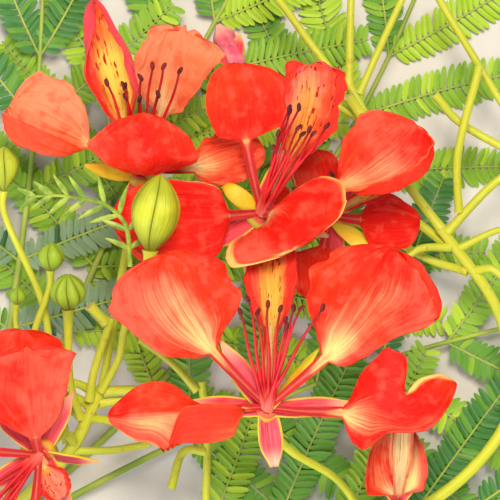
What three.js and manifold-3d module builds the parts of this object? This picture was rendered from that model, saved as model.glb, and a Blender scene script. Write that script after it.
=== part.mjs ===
// Cut flowering spray of a flame tree (Delonix regia), lying down with its blooms facing up.
// Millimetres, +Z up. The spray is laid out around the middle of its open blooms, and the last
// step moves the origin to the middle of the footprint, at the level of the lowest leaf.
// Headings are degrees counter-clockwise from +X seen from above, lifts are degrees above level.

import * as THREE from 'three';
import { LoftGeometry } from 'three/addons/geometries/LoftGeometry.js';
import { mergeVertices } from 'three/addons/utils/BufferGeometryUtils.js';
import Module from 'manifold-3d';

const wasm = await Module();
wasm.setup();

// Sizes that are the same all over the spray
const petalThickness = 0.95;
const sepalThickness = 1.1;
const sepalWidth = 7.4;
const stamenRadius = 0.6;
const antherRadius = 1.0;
const cupRadius = 4.3;
const cupDepth = 8;
const leafThickness = 0.8;
const youngLeafThickness = 0.5;
const petioleLength = 76;
const rachisRadius = 1.4;
const pinnaSpacing = 26;
const pinnaLength = 76;
const pinnaWidth = 20;
const pinnaRibWidth = 1.6;
const pinnaAngles = [66, 62, 58, 44, 24]; // between a pinna and its rachis, from foot to tip
const seat = 0.3; // clearance between a piece and the one that carries it

// How finely each kind of piece is faceted
const clawRows = 2;
const bladeRows = 5;
const petalColumns = 5;
const sepalRows = 3;
const stalkSides = 6;
const stamenSides = 3;
const budSides = 8;
const pinnaTeeth = 4;

const colours = {
  petal: 0xf53a1e,
  stalk: 0xb9bf2a,
  bark: 0x7d7348,
  bud: 0xb6c02c,
  leaf: 0x5c8a2e,
  leafSunlit: 0x8fb32e,
  youngLeaf: 0x9fb552,
  faded: 0xe0526a,
};

const radians = (degrees) => (degrees * Math.PI) / 180;
const vec = (x, y, z) => new THREE.Vector3(x, y, z);

/** Direction of a heading and a lift, as a unit vector. */
function toward(heading, lift) {
  const h = radians(heading);
  const l = radians(lift);
  return vec(Math.cos(h) * Math.cos(l), Math.sin(h) * Math.cos(l), Math.sin(l));
}

/** Smooth value at t (0 to 1) of numbers given at even stations. */
function along(values, t) {
  const x = Math.min(Math.max(t, 0), 1) * (values.length - 1);
  const i = Math.min(Math.floor(x), values.length - 2);
  const f = x - i;
  const pick = (k) => values[Math.min(Math.max(k, 0), values.length - 1)];
  const [a, b, c, d] = [pick(i - 1), pick(i), pick(i + 1), pick(i + 2)];
  return b + 0.5 * f * (c - a + f * (2 * a - 5 * b + 4 * c - d + f * (3 * (b - c) + d - a)));
}

/** Smooth step from 0 at low to 1 at high. */
function ease(low, high, x) {
  const t = Math.min(Math.max((x - low) / (high - low), 0), 1);
  return t * t * (3 - 2 * t);
}

/** Points and frames along a line that starts at root and follows headings and lifts over its length. */
function spine(root, length, headings, lifts, stops) {
  const steps = 40;
  const path = [root.clone()];
  for (let k = 0; k < steps; k++) {
    const t = (k + 0.5) / steps;
    const step = toward(along(headings, t), along(lifts, t)).multiplyScalar(length / steps);
    path.push(path[k].clone().add(step));
  }
  return stops.map((t) => {
    const x = t * steps;
    const k = Math.min(Math.floor(x), steps - 1);
    const at = path[k].clone().lerp(path[k + 1], x - k);
    const ahead = toward(along(headings, t), along(lifts, t));
    const h = radians(along(headings, t));
    const left = vec(-Math.sin(h), Math.cos(h), 0);
    return { at, ahead, left, up: ahead.clone().cross(left) };
  });
}

/**
 * Section of a thin curved blade across its spine, as a ring that starts at the left margin.
 * Each side bends up by cup degrees at its margin and by turn degrees more between two shares
 * of its half-width, where it is rolled or folded.
 */
function bladeSection(frame, sides, thickness, columns) {
  const half = [];
  for (const side of sides) {
    const points = [{ x: 0, z: 0, angle: 0 }];
    const fine = 24;
    for (let k = 1; k <= fine; k++) {
      const t = (k - 0.5) / fine;
      const angle = radians(side.cup * t + side.turn * ease(side.from, side.to, t));
      const last = points[k - 1];
      const step = side.width / fine;
      points.push({
        x: last.x + Math.cos(angle) * step,
        z: last.z + Math.sin(angle) * step,
        angle,
      });
    }
    half.push((t) => points[Math.round(t * fine)]);
  }
  const place = (t, offset) => {
    const side = t >= 0 ? 0 : 1;
    const sign = t >= 0 ? 1 : -1;
    const p = half[side](Math.abs(t));
    const x = p.x - Math.sin(p.angle) * offset;
    const z = p.z + Math.cos(p.angle) * offset;
    return frame.at
      .clone()
      .addScaledVector(frame.left, x * sign)
      .addScaledVector(frame.up, z);
  };
  const ring = [place(1, 0)];
  for (let k = 1; k < columns; k++) ring.push(place(1 - (2 * k) / columns, thickness / 2));
  ring.push(place(-1, 0));
  for (let k = columns - 1; k > 0; k--) ring.push(place(1 - (2 * k) / columns, -thickness / 2));
  return ring;
}

/** Rolls a frame about its own spine by degrees, left side up. */
function rolled(frame, degrees) {
  const r = radians(degrees);
  const left = frame.left.clone().multiplyScalar(Math.cos(r)).addScaledVector(frame.up, Math.sin(r));
  return { at: frame.at, ahead: frame.ahead, left, up: frame.ahead.clone().cross(left) };
}

const flatSide = { from: 0.5, to: 1, turn: [0, 0] };

/**
 * A petal: a narrow claw, then a round blade. Its half-widths left and right are given at five
 * stations along the blade that suit a round outline, and each side may be rolled or folded.
 */
function petal(centre, spec) {
  const length = spec.claw + spec.blade;
  const neck = spec.claw / length;
  const stops = [];
  for (let k = 0; k < clawRows; k++) stops.push((neck * k) / clawRows);
  for (let k = 0; k <= bladeRows; k++) {
    stops.push(neck + ((1 - neck) * (1 - Math.cos((Math.PI * k) / bladeRows))) / 2);
  }
  const clawHalf = spec.clawHalf ?? 1.9;
  const tipHalf = 0.8;
  const frames = spine(centre, length, spec.heading, spec.lift, stops);
  const leftWidths = [clawHalf, ...spec.left, tipHalf];
  const rightWidths = [clawHalf, ...spec.right, tipHalf];
  const foldLeft = spec.foldLeft ?? flatSide;
  const foldRight = spec.foldRight ?? flatSide;
  const roll = spec.roll ?? [0, 0];
  const sections = frames.map((frame, row) => {
    const onBlade = Math.max(row - clawRows, 0) / bladeRows;
    const cup = spec.cup * ease(0, 0.3, onBlade);
    const side = (widths, fold) => ({
      width: along(widths, onBlade),
      cup,
      from: fold.from,
      to: fold.to,
      turn: along(fold.turn, onBlade),
    });
    const turned = rolled(frame, along(roll, stops[row]));
    const sides = [side(leftWidths, foldLeft), side(rightWidths, foldRight)];
    return bladeSection(turned, sides, petalThickness, petalColumns);
  });
  return solid(loft(sections));
}

/** A sepal: a pointed strap that is hollow along its middle. */
function sepal(centre, spec) {
  const stops = [];
  for (let k = 0; k <= sepalRows; k++) stops.push(k / sepalRows);
  const frames = spine(centre, spec.length, spec.heading, spec.lift, stops);
  const width = (spec.width ?? sepalWidth) / 2;
  const halfWidths = [0.5, 1, 0.85, 0.16].map((share) => share * width);
  const sections = frames.map((frame, row) => {
    const side = { width: halfWidths[row], cup: 28, from: 0.5, to: 1, turn: 0 };
    return bladeSection(rolled(frame, spec.roll ?? 0), [side, side], sepalThickness, 2);
  });
  return solid(loft(sections));
}

/** A round tube through points, with its radius given at even stations. */
function tube(points, radii, sides, rows) {
  const curve = new THREE.CatmullRomCurve3(points, false, 'centripetal');
  const { normals, binormals } = curve.computeFrenetFrames(rows, false);
  const sections = [];
  for (let row = 0; row <= rows; row++) {
    const at = curve.getPointAt(row / rows);
    const radius = along(radii, row / rows);
    const ring = [];
    for (let k = 0; k < sides; k++) {
      const turn = (2 * Math.PI * k) / sides;
      ring.push(
        at
          .clone()
          .addScaledVector(normals[row], radius * Math.cos(turn))
          .addScaledVector(binormals[row], radius * Math.sin(turn)),
      );
    }
    sections.push(ring);
  }
  return loft(sections);
}

/** A stamen: a thin filament that bends up towards its anther. */
function stamen(centre, heading, lift, length) {
  const stops = [0, 0.45, 0.93, 1];
  const frames = spine(centre, length, [heading, heading], [lift, lift * 0.7, lift + 10], stops);
  const radii = [stamenRadius, stamenRadius * 0.9, antherRadius, antherRadius * 0.5];
  const sections = frames.map((frame, row) => {
    const ring = [];
    for (let k = 0; k < stamenSides; k++) {
      const turn = (2 * Math.PI * k) / stamenSides;
      ring.push(
        frame.at
          .clone()
          .addScaledVector(frame.left, radii[row] * Math.cos(turn))
          .addScaledVector(frame.up, radii[row] * Math.sin(turn)),
      );
    }
    return ring;
  });
  return solid(loft(sections));
}

/** A closed body through rings of points, each end gathered to the middle of its ring. */
function loft(rings) {
  const gathered = (ring) => {
    const middle = vec(0, 0, 0);
    for (const point of ring) middle.addScaledVector(point, 1 / ring.length);
    return ring.map(() => middle);
  };
  const ends = [gathered(rings[0]), gathered(rings[rings.length - 1])];
  return closed(new LoftGeometry([ends[0], ...rings, ends[1]]));
}

/** A geometry's faces with their shared points merged, less the faces that this leaves flat. */
function closed(geometry) {
  const bare = new THREE.BufferGeometry();
  bare.setAttribute('position', geometry.attributes.position);
  if (geometry.index) bare.setIndex(geometry.index);
  const merged = mergeVertices(bare, 1e-4);
  const corners = merged.index.array;
  const kept = [];
  for (let k = 0; k < corners.length; k += 3) {
    const [a, b, c] = corners.slice(k, k + 3);
    if (a !== b && b !== c && c !== a) kept.push(a, b, c);
  }
  merged.setIndex(kept);
  return merged;
}

/** A closed geometry as a solid that can be joined. */
function solid(geometry) {
  return new wasm.Manifold(
    new wasm.Mesh({
      numProp: 3,
      vertProperties: new Float32Array(geometry.attributes.position.array),
      triVerts: new Uint32Array(geometry.index.array),
    }),
  );
}

/** Joins solids into one geometry; a hollow that joining seals is filled, a loose scrap is dropped. */
function fused(solids) {
  let whole = solids[0];
  for (const next of solids.slice(1)) whole = whole.add(next);
  const bodies = whole.simplify(0.01).decompose();
  bodies.sort((a, b) => b.volume() - a.volume());
  const mesh = bodies[0].getMesh();
  const geometry = new THREE.BufferGeometry();
  geometry.setAttribute('position', new THREE.BufferAttribute(mesh.vertProperties, 3));
  geometry.setIndex(new THREE.BufferAttribute(mesh.triVerts, 1));
  geometry.computeVertexNormals();
  return geometry;
}

const spray = new THREE.Group();
const carried = {}; // the foot and axis of each bloom and bud, by name, for its stalk

function addPiece(name, geometry, colour, roughness) {
  const material = new THREE.MeshStandardMaterial({ color: colour, roughness, metalness: 0 });
  const mesh = new THREE.Mesh(geometry, material);
  mesh.name = name;
  spray.add(mesh);
}

/** An open bloom: the cup of the calyx, its sepals, petals and stamens, grown together. */
function bloom(spec) {
  const centre = vec(...spec.centre);
  const axis = toward(...spec.facing);
  const back = (depth) => centre.clone().addScaledVector(axis, -depth);
  const parts = [
    solid(tube([back(cupDepth), back(cupDepth / 2), back(-1)], [1.9, 4, cupRadius, 3], 8, 3)),
  ];
  for (const one of spec.sepals) parts.push(sepal(back(3), one));
  for (const one of spec.petals) parts.push(petal(back(0.5), one));
  spec.stamens.headings.forEach((heading, k) => {
    parts.push(stamen(back(0), heading, spec.stamens.lift, spec.stamens.lengths[k]));
  });
  carried[spec.name] = { foot: back(cupDepth), axis };
  addPiece(spec.name, fused(parts), colours.petal, 0.5);
}

// The lower bloom, the nearest one, opens straight up
const lowerBloom = {
  name: 'bloom_lower',
  centre: [6.5, -56.5, 74],
  facing: [80, 70],
  petals: [
    { // wing on the upper left, the widest
      claw: 33, blade: 38, heading: [135, 127, 94], lift: [30, 12, -12], cup: 14,
      left: [10, 16.5, 22, 25, 20], right: [6.5, 17, 20.5, 17, 10],
    },
    { // wing on the upper right, its outer margin folded back
      claw: 32, blade: 45, heading: [41, 47, 80], lift: [30, 12, -10], cup: 14,
      left: [8, 20, 23.5, 20, 12], right: [5, 10, 18, 23, 17],
    },
    { // lower left, its near half folded over the rest
      claw: 16, blade: 42, heading: [192, 184, 172], lift: [8, 8, -8], cup: 4,
      left: [14, 21, 22, 13, 5], right: [3, 8, 15, 13, 6],
      foldLeft: { from: 0.35, to: 0.62, turn: [150, 160, 120, 0] },
    },
    { // lower right, with one tall lobe and a rolled rim
      claw: 27, blade: 42, heading: [-10, 0, 30], lift: [12, 8, -6], cup: 16,
      left: [11, 21, 26, 9, 7], right: [6, 12.5, 11, 12, 6],
    },
    { // standard, narrow and rolled, its top bent back
      claw: 30, blade: 34, heading: [88, 88, 89], lift: [25, 0, -34], cup: 30, clawHalf: 2.6,
      left: [4, 6, 8.5, 10, 8], right: [4, 6, 8.5, 10, 8],
    },
  ],
  sepals: [
    { heading: [134, 124], lift: [14, 2], length: 31 },
    { heading: [176, 172], lift: [6, 0], length: 29 },
    { heading: [2, 8], lift: [4, 0], length: 31 },
    { heading: [54, 46], lift: [24, 14], length: 32, roll: 60 },
    { heading: [-84, -82], lift: [-6, -22], length: 24, width: 10 },
  ],
  stamens: {
    lift: 34,
    headings: [104, 98, 95, 91, 86, 82, 79, 76, 72, 61],
    lengths: [43, 47, 40, 43, 42, 39, 37, 46, 47, 50],
  },
};

// The upper bloom, behind it, leans to the upper right
const upperBloom = {
  name: 'bloom_upper',
  centre: [4.5, 14, 62],
  facing: [50, 55],
  petals: [
    { // smooth wing on the upper left
      claw: 28, blade: 28, heading: [105, 99, 90], lift: [24, 12, -2], cup: 16,
      left: [9, 12, 13, 12, 8], right: [12, 18, 19, 17, 11],
    },
    { // standard, upright, with wrinkled margins
      claw: 26, blade: 40, heading: [58, 70, 88], lift: [34, 12, -6], cup: 24, clawHalf: 2.6,
      left: [5, 7, 8, 9, 8], right: [6, 10, 12, 13, 9],
    },
    { // wing on the right
      claw: 32, blade: 36, heading: [14, 26, 52], lift: [30, 12, -8], cup: 14,
      left: [6, 13, 17, 16, 10], right: [4, 8, 14, 17, 12],
    },
    { // lower petal, bent up towards the viewer and then over
      claw: 13, blade: 22, heading: [-10, -48, -62], lift: [60, 64, 24], cup: 10,
      left: [12, 21, 25, 22, 13], right: [9, 17, 23, 24, 15],
    },
    { // lower left, behind the big bud
      claw: 12, blade: 43, heading: [188, 180, 188], lift: [6, -7, -12], cup: 10,
      left: [12, 17, 18, 16, 9], right: [10, 12.6, 13.6, 12, 7],
    },
  ],
  sepals: [
    { heading: [140, 142], lift: [20, 10], length: 27 },
    { heading: [70, 64], lift: [30, 20], length: 28 },
    { heading: [-14, -20], lift: [-10, -24], length: 28 },
    { heading: [-100, -104], lift: [-20, -30], length: 26 },
    { heading: [212, 206], lift: [-10, -24], length: 27 },
  ],
  stamens: {
    lift: 46,
    headings: [73, 69, 74, 53, 58, 82, 66, 61, 77, 64],
    lengths: [51, 52, 48, 50, 44, 31, 43, 47, 40, 45],
  },
};

// The upper left bloom faces up the picture, so that its near petal hides its heart
const leftBloom = {
  name: 'bloom_upper_left',
  centre: [-40, 30, 52],
  facing: [84, 40],
  petals: [
    { // near petal, its underside to the viewer
      claw: 8, blade: 33, heading: [86, 82, 76], lift: [112, 54, -16], cup: -14,
      left: [15, 20, 20, 15, 8], right: [13, 18, 21, 19, 12],
    },
    { // wrinkled wing on the left, its lower margin folded
      claw: 22, blade: 32, heading: [152, 158, 150], lift: [16, 6, -8], cup: 12,
      left: [6, 8, 9, 9, 7], right: [7, 13, 16, 15, 9],
    },
    { // far wall
      claw: 22, blade: 31, heading: [66, 74, 76], lift: [0, 2, 8], cup: 18,
      left: [10, 14, 15.5, 15, 12], right: [7, 9, 12, 15, 14],
    },
    { // standard, its long top rolled up
      claw: 20, blade: 45, heading: [110, 106, 98], lift: [20, 8, 4], cup: 20, clawHalf: 2.6,
      left: [5, 7.5, 8, 7, 6], right: [6, 10, 11, 9, 6],
      foldLeft: { from: 0.5, to: 1, turn: [0, 10, 60, 120] },
      foldRight: { from: 0.4, to: 1, turn: [0, 20, 80, 120] },
    },
    { // folded petal on the right
      claw: 20, blade: 27, heading: [-2, 8, 26], lift: [10, 14, 2], cup: 30,
      left: [6, 10, 11, 10, 6], right: [5, 8, 9, 8, 5],
    },
  ],
  sepals: [
    { heading: [176, 166], lift: [26, 16], length: 22 },
    { heading: [28, 44], lift: [20, 20], length: 30 },
    { heading: [250, 256], lift: [-10, -20], length: 24 },
    { heading: [120, 116], lift: [-6, -12], length: 26 },
    { heading: [-34, -30], lift: [-6, -12], length: 25 },
  ],
  stamens: {
    lift: 30,
    headings: [108, 97, 88, 84, 79, 69, 103, 92, 75, 99],
    lengths: [38, 34, 37, 42, 43, 44, 31, 30, 33, 36],
  },
};

// The lower left bloom faces down the picture
const cornerBloom = {
  name: 'bloom_lower_left',
  centre: [-77, -75, 62],
  facing: [225, 50],
  petals: [
    { // broad wing that stands up the picture
      claw: 10, blade: 33, heading: [98, 96, 94], lift: [50, 16, -4], cup: 10,
      left: [11, 19, 21, 18, 11], right: [5, 10, 13, 16, 18],
    },
    { // second wing behind it
      claw: 17, blade: 30, heading: [108, 100, 84], lift: [14, -2, -8], cup: 10,
      left: [10, 17, 19, 16, 9], right: [8, 12, 13, 14, 14],
    },
    { // wing on the outer left
      claw: 26, blade: 34, heading: [172, 178, 160], lift: [24, 10, -8], cup: 12,
      left: [10, 18, 21, 19, 12], right: [8, 16, 19, 17, 10],
    },
    { // wing on the outer lower side
      claw: 27, blade: 35, heading: [268, 262, 276], lift: [20, 8, -8], cup: 12,
      left: [9, 17, 20, 18, 11], right: [8, 16, 19, 17, 11],
    },
    { // standard, small, crumpled beside the heart
      claw: 5, blade: 13, heading: [-70, -60, -50], lift: [14, 2, -8], cup: 34, clawHalf: 2.4,
      left: [5, 7, 8, 6, 4], right: [4, 5, 6, 5, 4],
    },
  ],
  sepals: [
    { heading: [-12, -8], lift: [0, -8], length: 21 },
    { heading: [66, 60], lift: [-6, -16], length: 25 },
    { heading: [140, 144], lift: [-10, -16], length: 26 },
    { heading: [214, 210], lift: [2, -10], length: 28 },
    { heading: [-66, -62], lift: [-8, -18], length: 25 },
  ],
  stamens: {
    lift: 30,
    headings: [222, 228, 234, 240, 217, 231, 245, 226, 237, 212],
    lengths: [42, 46, 40, 44, 38, 41, 39, 47, 43, 36],
  },
};

// A bloom half hidden behind the upper one
const farBloom = {
  name: 'bloom_behind',
  centre: [29, 13, 43],
  facing: [170, 62],
  petals: [
    { // broad wing that shows on the right
      claw: 12, blade: 22, heading: [-12, -2, -4], lift: [12, 6, -6], cup: 10,
      left: [8, 10.5, 10, 7, 4], right: [8, 10.5, 11, 10, 7],
    },
    { // standard, rolled, streaked
      claw: 14, blade: 14, heading: [26, 30, 36], lift: [36, 16, 0], cup: 44, clawHalf: 2.4,
      left: [3, 4, 5, 4, 3], right: [3, 4, 5, 4, 3],
    },
    {
      claw: 10, blade: 15, heading: [108, 104, 100], lift: [0, -8, -14], cup: 12,
      left: [7, 9, 9, 8, 5], right: [7, 9, 9, 8, 5],
    },
    {
      claw: 10, blade: 14, heading: [186, 184, 178], lift: [-4, -8, -6], cup: 12,
      left: [8, 11, 12, 10, 6], right: [8, 11, 12, 10, 6],
    },
    {
      claw: 12, blade: 20, heading: [262, 258, 250], lift: [0, -4, -8], cup: 12,
      left: [8, 11, 12, 10, 6], right: [8, 11, 12, 10, 6],
    },
  ],
  sepals: [
    { heading: [-46, -30], lift: [16, 6], length: 26 },
    { heading: [62, 60], lift: [-6, -12], length: 23 },
    { heading: [134, 138], lift: [-8, -12], length: 23 },
    { heading: [216, 214], lift: [-8, -12], length: 23 },
    { heading: [-84, -86], lift: [-8, -12], length: 23 },
  ],
  stamens: { lift: 40, headings: [200, 150, 90], lengths: [20, 18, 20] },
};

// A bloom that has only half opened, low on the right
const openingBloom = {
  name: 'bloom_half_open',
  centre: [54.5, -91, 50],
  facing: [88, 60],
  petals: [
    {
      claw: 12, blade: 27, heading: [99, 94, 84], lift: [30, 26, 10], cup: 40,
      left: [4, 6, 7, 6, 3], right: [4, 6, 7, 6, 3],
    },
    {
      claw: 12, blade: 25, heading: [76, 84, 92], lift: [34, 26, 14], cup: 40,
      left: [4, 6, 7, 6, 3], right: [4, 6, 7, 5, 3],
    },
    {
      claw: 12, blade: 24, heading: [88, 88, 90], lift: [12, 16, 20], cup: 50, clawHalf: 2.4,
      left: [4, 7, 8, 7, 4], right: [4, 7, 8, 7, 4],
    },
  ],
  sepals: [
    { heading: [124, 98], lift: [20, 6], length: 25 },
    { heading: [54, 80], lift: [20, 6], length: 25 },
    { heading: [88, 88], lift: [-12, -2], length: 25 },
  ],
  stamens: { lift: 30, headings: [], lengths: [] },
};

const blooms = [lowerBloom, upperBloom, leftBloom, cornerBloom, farBloom, openingBloom];
for (const one of blooms) bloom(one);

/** A bud: five sepals still shut over the petals, as one pointed egg on its stalk end. */
function bud({ name, foot, heading, lift, length, radius }) {
  const shares = [0, 0.12, 0.32, 0.58, 0.82, 0.95, 1];
  const girths = [0.2, 0.5, 0.88, 1, 0.72, 0.3, 0.06];
  const frames = spine(vec(...foot), length, [heading, heading], [lift, lift], shares);
  const sections = frames.map((frame, row) => {
    const ring = [];
    for (let k = 0; k < budSides; k++) {
      const turn = (2 * Math.PI * k) / budSides;
      ring.push(
        frame.at
          .clone()
          .addScaledVector(frame.left, radius * girths[row] * Math.cos(turn))
          .addScaledVector(frame.up, radius * girths[row] * Math.sin(turn)),
      );
    }
    return ring;
  });
  carried[name] = { foot: vec(...foot), axis: toward(heading, lift) };
  addPiece(name, loft(sections), colours.bud, 0.45);
}

const buds = [
  { name: 'bud_large', foot: [-36, -1, 76], heading: 82, lift: 12, length: 29, radius: 8.8 },
  { name: 'bud_left', foot: [-91, 21, 44], heading: 88, lift: 10, length: 17.5, radius: 5.6 },
  { name: 'bud_small', foot: [-73.5, -8, 48], heading: 86, lift: 20, length: 11.5, radius: 5 },
  { name: 'bud_ribbed', foot: [-67, -22, 47], heading: 88, lift: 30, length: 15, radius: 6.4 },
  { name: 'bud_tiny', foot: [-86.5, -20.5, 40], heading: 84, lift: 20, length: 7, radius: 3.3 },
];
for (const one of buds) bud(one);

const stalkLines = {}; // the faceted line and the radii of each stalk, by name, for what it carries

/** A stalk: one tapering limb through a few points. */
function stalk({ name, through, radii, rows = 4, colour = colours.stalk, roughness = 0.55 }) {
  const points = through.map((p) => vec(...p));
  const curve = new THREE.CatmullRomCurve3(points, false, 'centripetal');
  const line = [];
  for (let row = 0; row <= rows; row++) line.push(curve.getPointAt(row / rows));
  stalkLines[name] = { line, radii };
  addPiece(name, tube(points, radii, stalkSides, rows), colour, roughness);
}

/** The point of a stalk's faceted line at a share of it, and the direction of the line there. */
function onStalk(name, share) {
  const { line } = stalkLines[name];
  const x = share * (line.length - 1);
  const k = Math.min(Math.floor(x), line.length - 2);
  const axis = line[k + 1].clone().sub(line[k]).normalize();
  return { at: line[k].clone().lerp(line[k + 1], x - k), axis };
}

/** Where a side stalk of some radius that heads for a point starts, just clear of its carrier. */
function seatOn(carrier, share, next, radius) {
  const { at, axis } = onStalk(carrier, share);
  const facet = Math.cos(Math.PI / stalkSides); // how far in a side's middle lies
  const girth = (along(stalkLines[carrier].radii, share) * (1 + facet)) / 2;
  const end = onStalk(carrier, 1).at;
  const out = next.clone().sub(at).normalize();
  const lean = out.dot(axis);
  const square = Math.sqrt(1 - lean * lean);
  const pastSide = (girth + seat + radius * Math.abs(lean)) / square;
  const pastEnd = (end.sub(at).dot(axis) + seat + radius * square) / Math.max(lean, 0.01);
  return at.addScaledVector(out, Math.min(pastSide, pastEnd));
}

/** A side stalk, seated on a carrier, that ends at its last point or under a bloom or bud. */
function sideStalk({ name, on, share, through, radii, under, rows = 4 }) {
  const points = through.map((p) => vec(...p));
  if (under) {
    const { foot, axis } = carried[under];
    points.push(foot.clone().addScaledVector(axis, -6), foot.clone().addScaledVector(axis, -seat));
  }
  const start = seatOn(on, share, points[0], radii[0]);
  stalk({ name, through: [start, ...points].map((p) => p.toArray()), radii, rows });
}

// The cut branch lies at the lower left. Its end is cut flat, and everything grows on from its tip.
const branchTip = vec(-93, -105, 7);
const branchTipRadius = 5.4;
stalk({
  name: 'branch',
  through: [[-117, -131, 7.2], [-105, -118, 7.4], branchTip.toArray()],
  radii: [6.6, 6, branchTipRadius],
  colour: colours.bark,
  roughness: 0.85,
});

// Flower stalks, from the branch's tip outwards
const racemes = [
  {
    name: 'raceme_left',
    through: [[-94, -102, 9.9], [-81, -90, 20], [-66, -73, 30], [-55, -51, 35]],
    radii: [2.5, 2.6, 2.4, 2], rows: 6,
  },
  {
    name: 'raceme_right',
    through: [
      [-89.7, -105.3, 9.7], [-60, -104, 19], [0, -108, 21], [62, -98, 23],
      [97, -62, 26], [93, -24, 30], [71, 8, 34],
    ],
    radii: [2.4, 2.4, 2.3, 2.2, 2], rows: 14,
  },
];
for (const one of racemes) stalk(one);

const sideStalks = [
  { name: 'raceme_middle', on: 'raceme_right', share: 0.28, radii: [1.7, 1.5, 1.4],
    through: [[-16, -98, 27], [-16, -72, 31], [-18, -49, 34]] },
  { name: 'raceme_right_end', on: 'raceme_right', share: 0.99, radii: [1.7, 1.6, 1.5],
    through: [[90, 24, 34], [107, 36, 33]] },
  { name: 'raceme_top', on: 'raceme_right', share: 0.985, radii: [1.8, 1.7, 1.6],
    through: [[52, 34, 33], [37, 62, 32]] },
  { name: 'stalk_lower_bloom', on: 'raceme_right', share: 0.48, radii: [1.4, 1.5, 1.7], rows: 6,
    through: [[33, -86, 34], [14, -73, 50]], under: 'bloom_lower' },
  { name: 'stalk_upper_bloom', on: 'raceme_right', share: 0.955, radii: [1.7, 1.6, 1.7], rows: 8,
    through: [[60, 12, 28], [38, 24, 25], [12, 20, 26], [0, 9, 35]], under: 'bloom_upper' },
  { name: 'stalk_behind', on: 'raceme_right', share: 0.925, radii: [1.6, 1.5, 1.7], rows: 5,
    through: [[68, -4, 27], [48, 7, 27]], under: 'bloom_behind' },
  { name: 'stalk_upper_left', on: 'raceme_left', share: 1, radii: [1.6, 1.5, 1.7], rows: 6,
    through: [[-51, -28, 34], [-46, 0, 36]], under: 'bloom_upper_left' },
  { name: 'stalk_lower_left', on: 'raceme_left', share: 0.66, radii: [1.6, 1.6, 1.7],
    through: [[-68, -68, 41]], under: 'bloom_lower_left' },
  { name: 'stalk_half_open', on: 'raceme_right', share: 0.6, radii: [1.5, 1.5, 1.7],
    through: [[55.5, -106, 31.5]], under: 'bloom_half_open' },
  { name: 'stalk_bud_large', on: 'raceme_left', share: 0.9, radii: [1.5, 1.5, 2.1], rows: 6,
    through: [[-48.5, -40, 45], [-46, -29, 54], [-42, -16, 66]], under: 'bud_large' },
  { name: 'stalk_bud_left', on: 'raceme_left', share: 0.6, radii: [1.5, 1.4, 1.3, 1.2], rows: 6,
    through: [[-73.5, -42, 36], [-77, -20, 38]], under: 'bud_left' },
  { name: 'stalk_bud_small', on: 'raceme_left', share: 0.5, radii: [1.4, 1.3, 1.2], rows: 5,
    through: [[-80, -50, 38], [-80, -32, 44]], under: 'bud_small' },
  { name: 'stalk_bud_ribbed', on: 'raceme_left', share: 0.76, radii: [1.5, 1.4, 1.8],
    through: [[-66.5, -50, 39]], under: 'bud_ribbed' },
  { name: 'stalk_bud_tiny', on: 'stalk_bud_small', share: 0.36, radii: [1, 0.9, 0.9],
    through: [[-84, -40, 37]], under: 'bud_tiny' },
];

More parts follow.
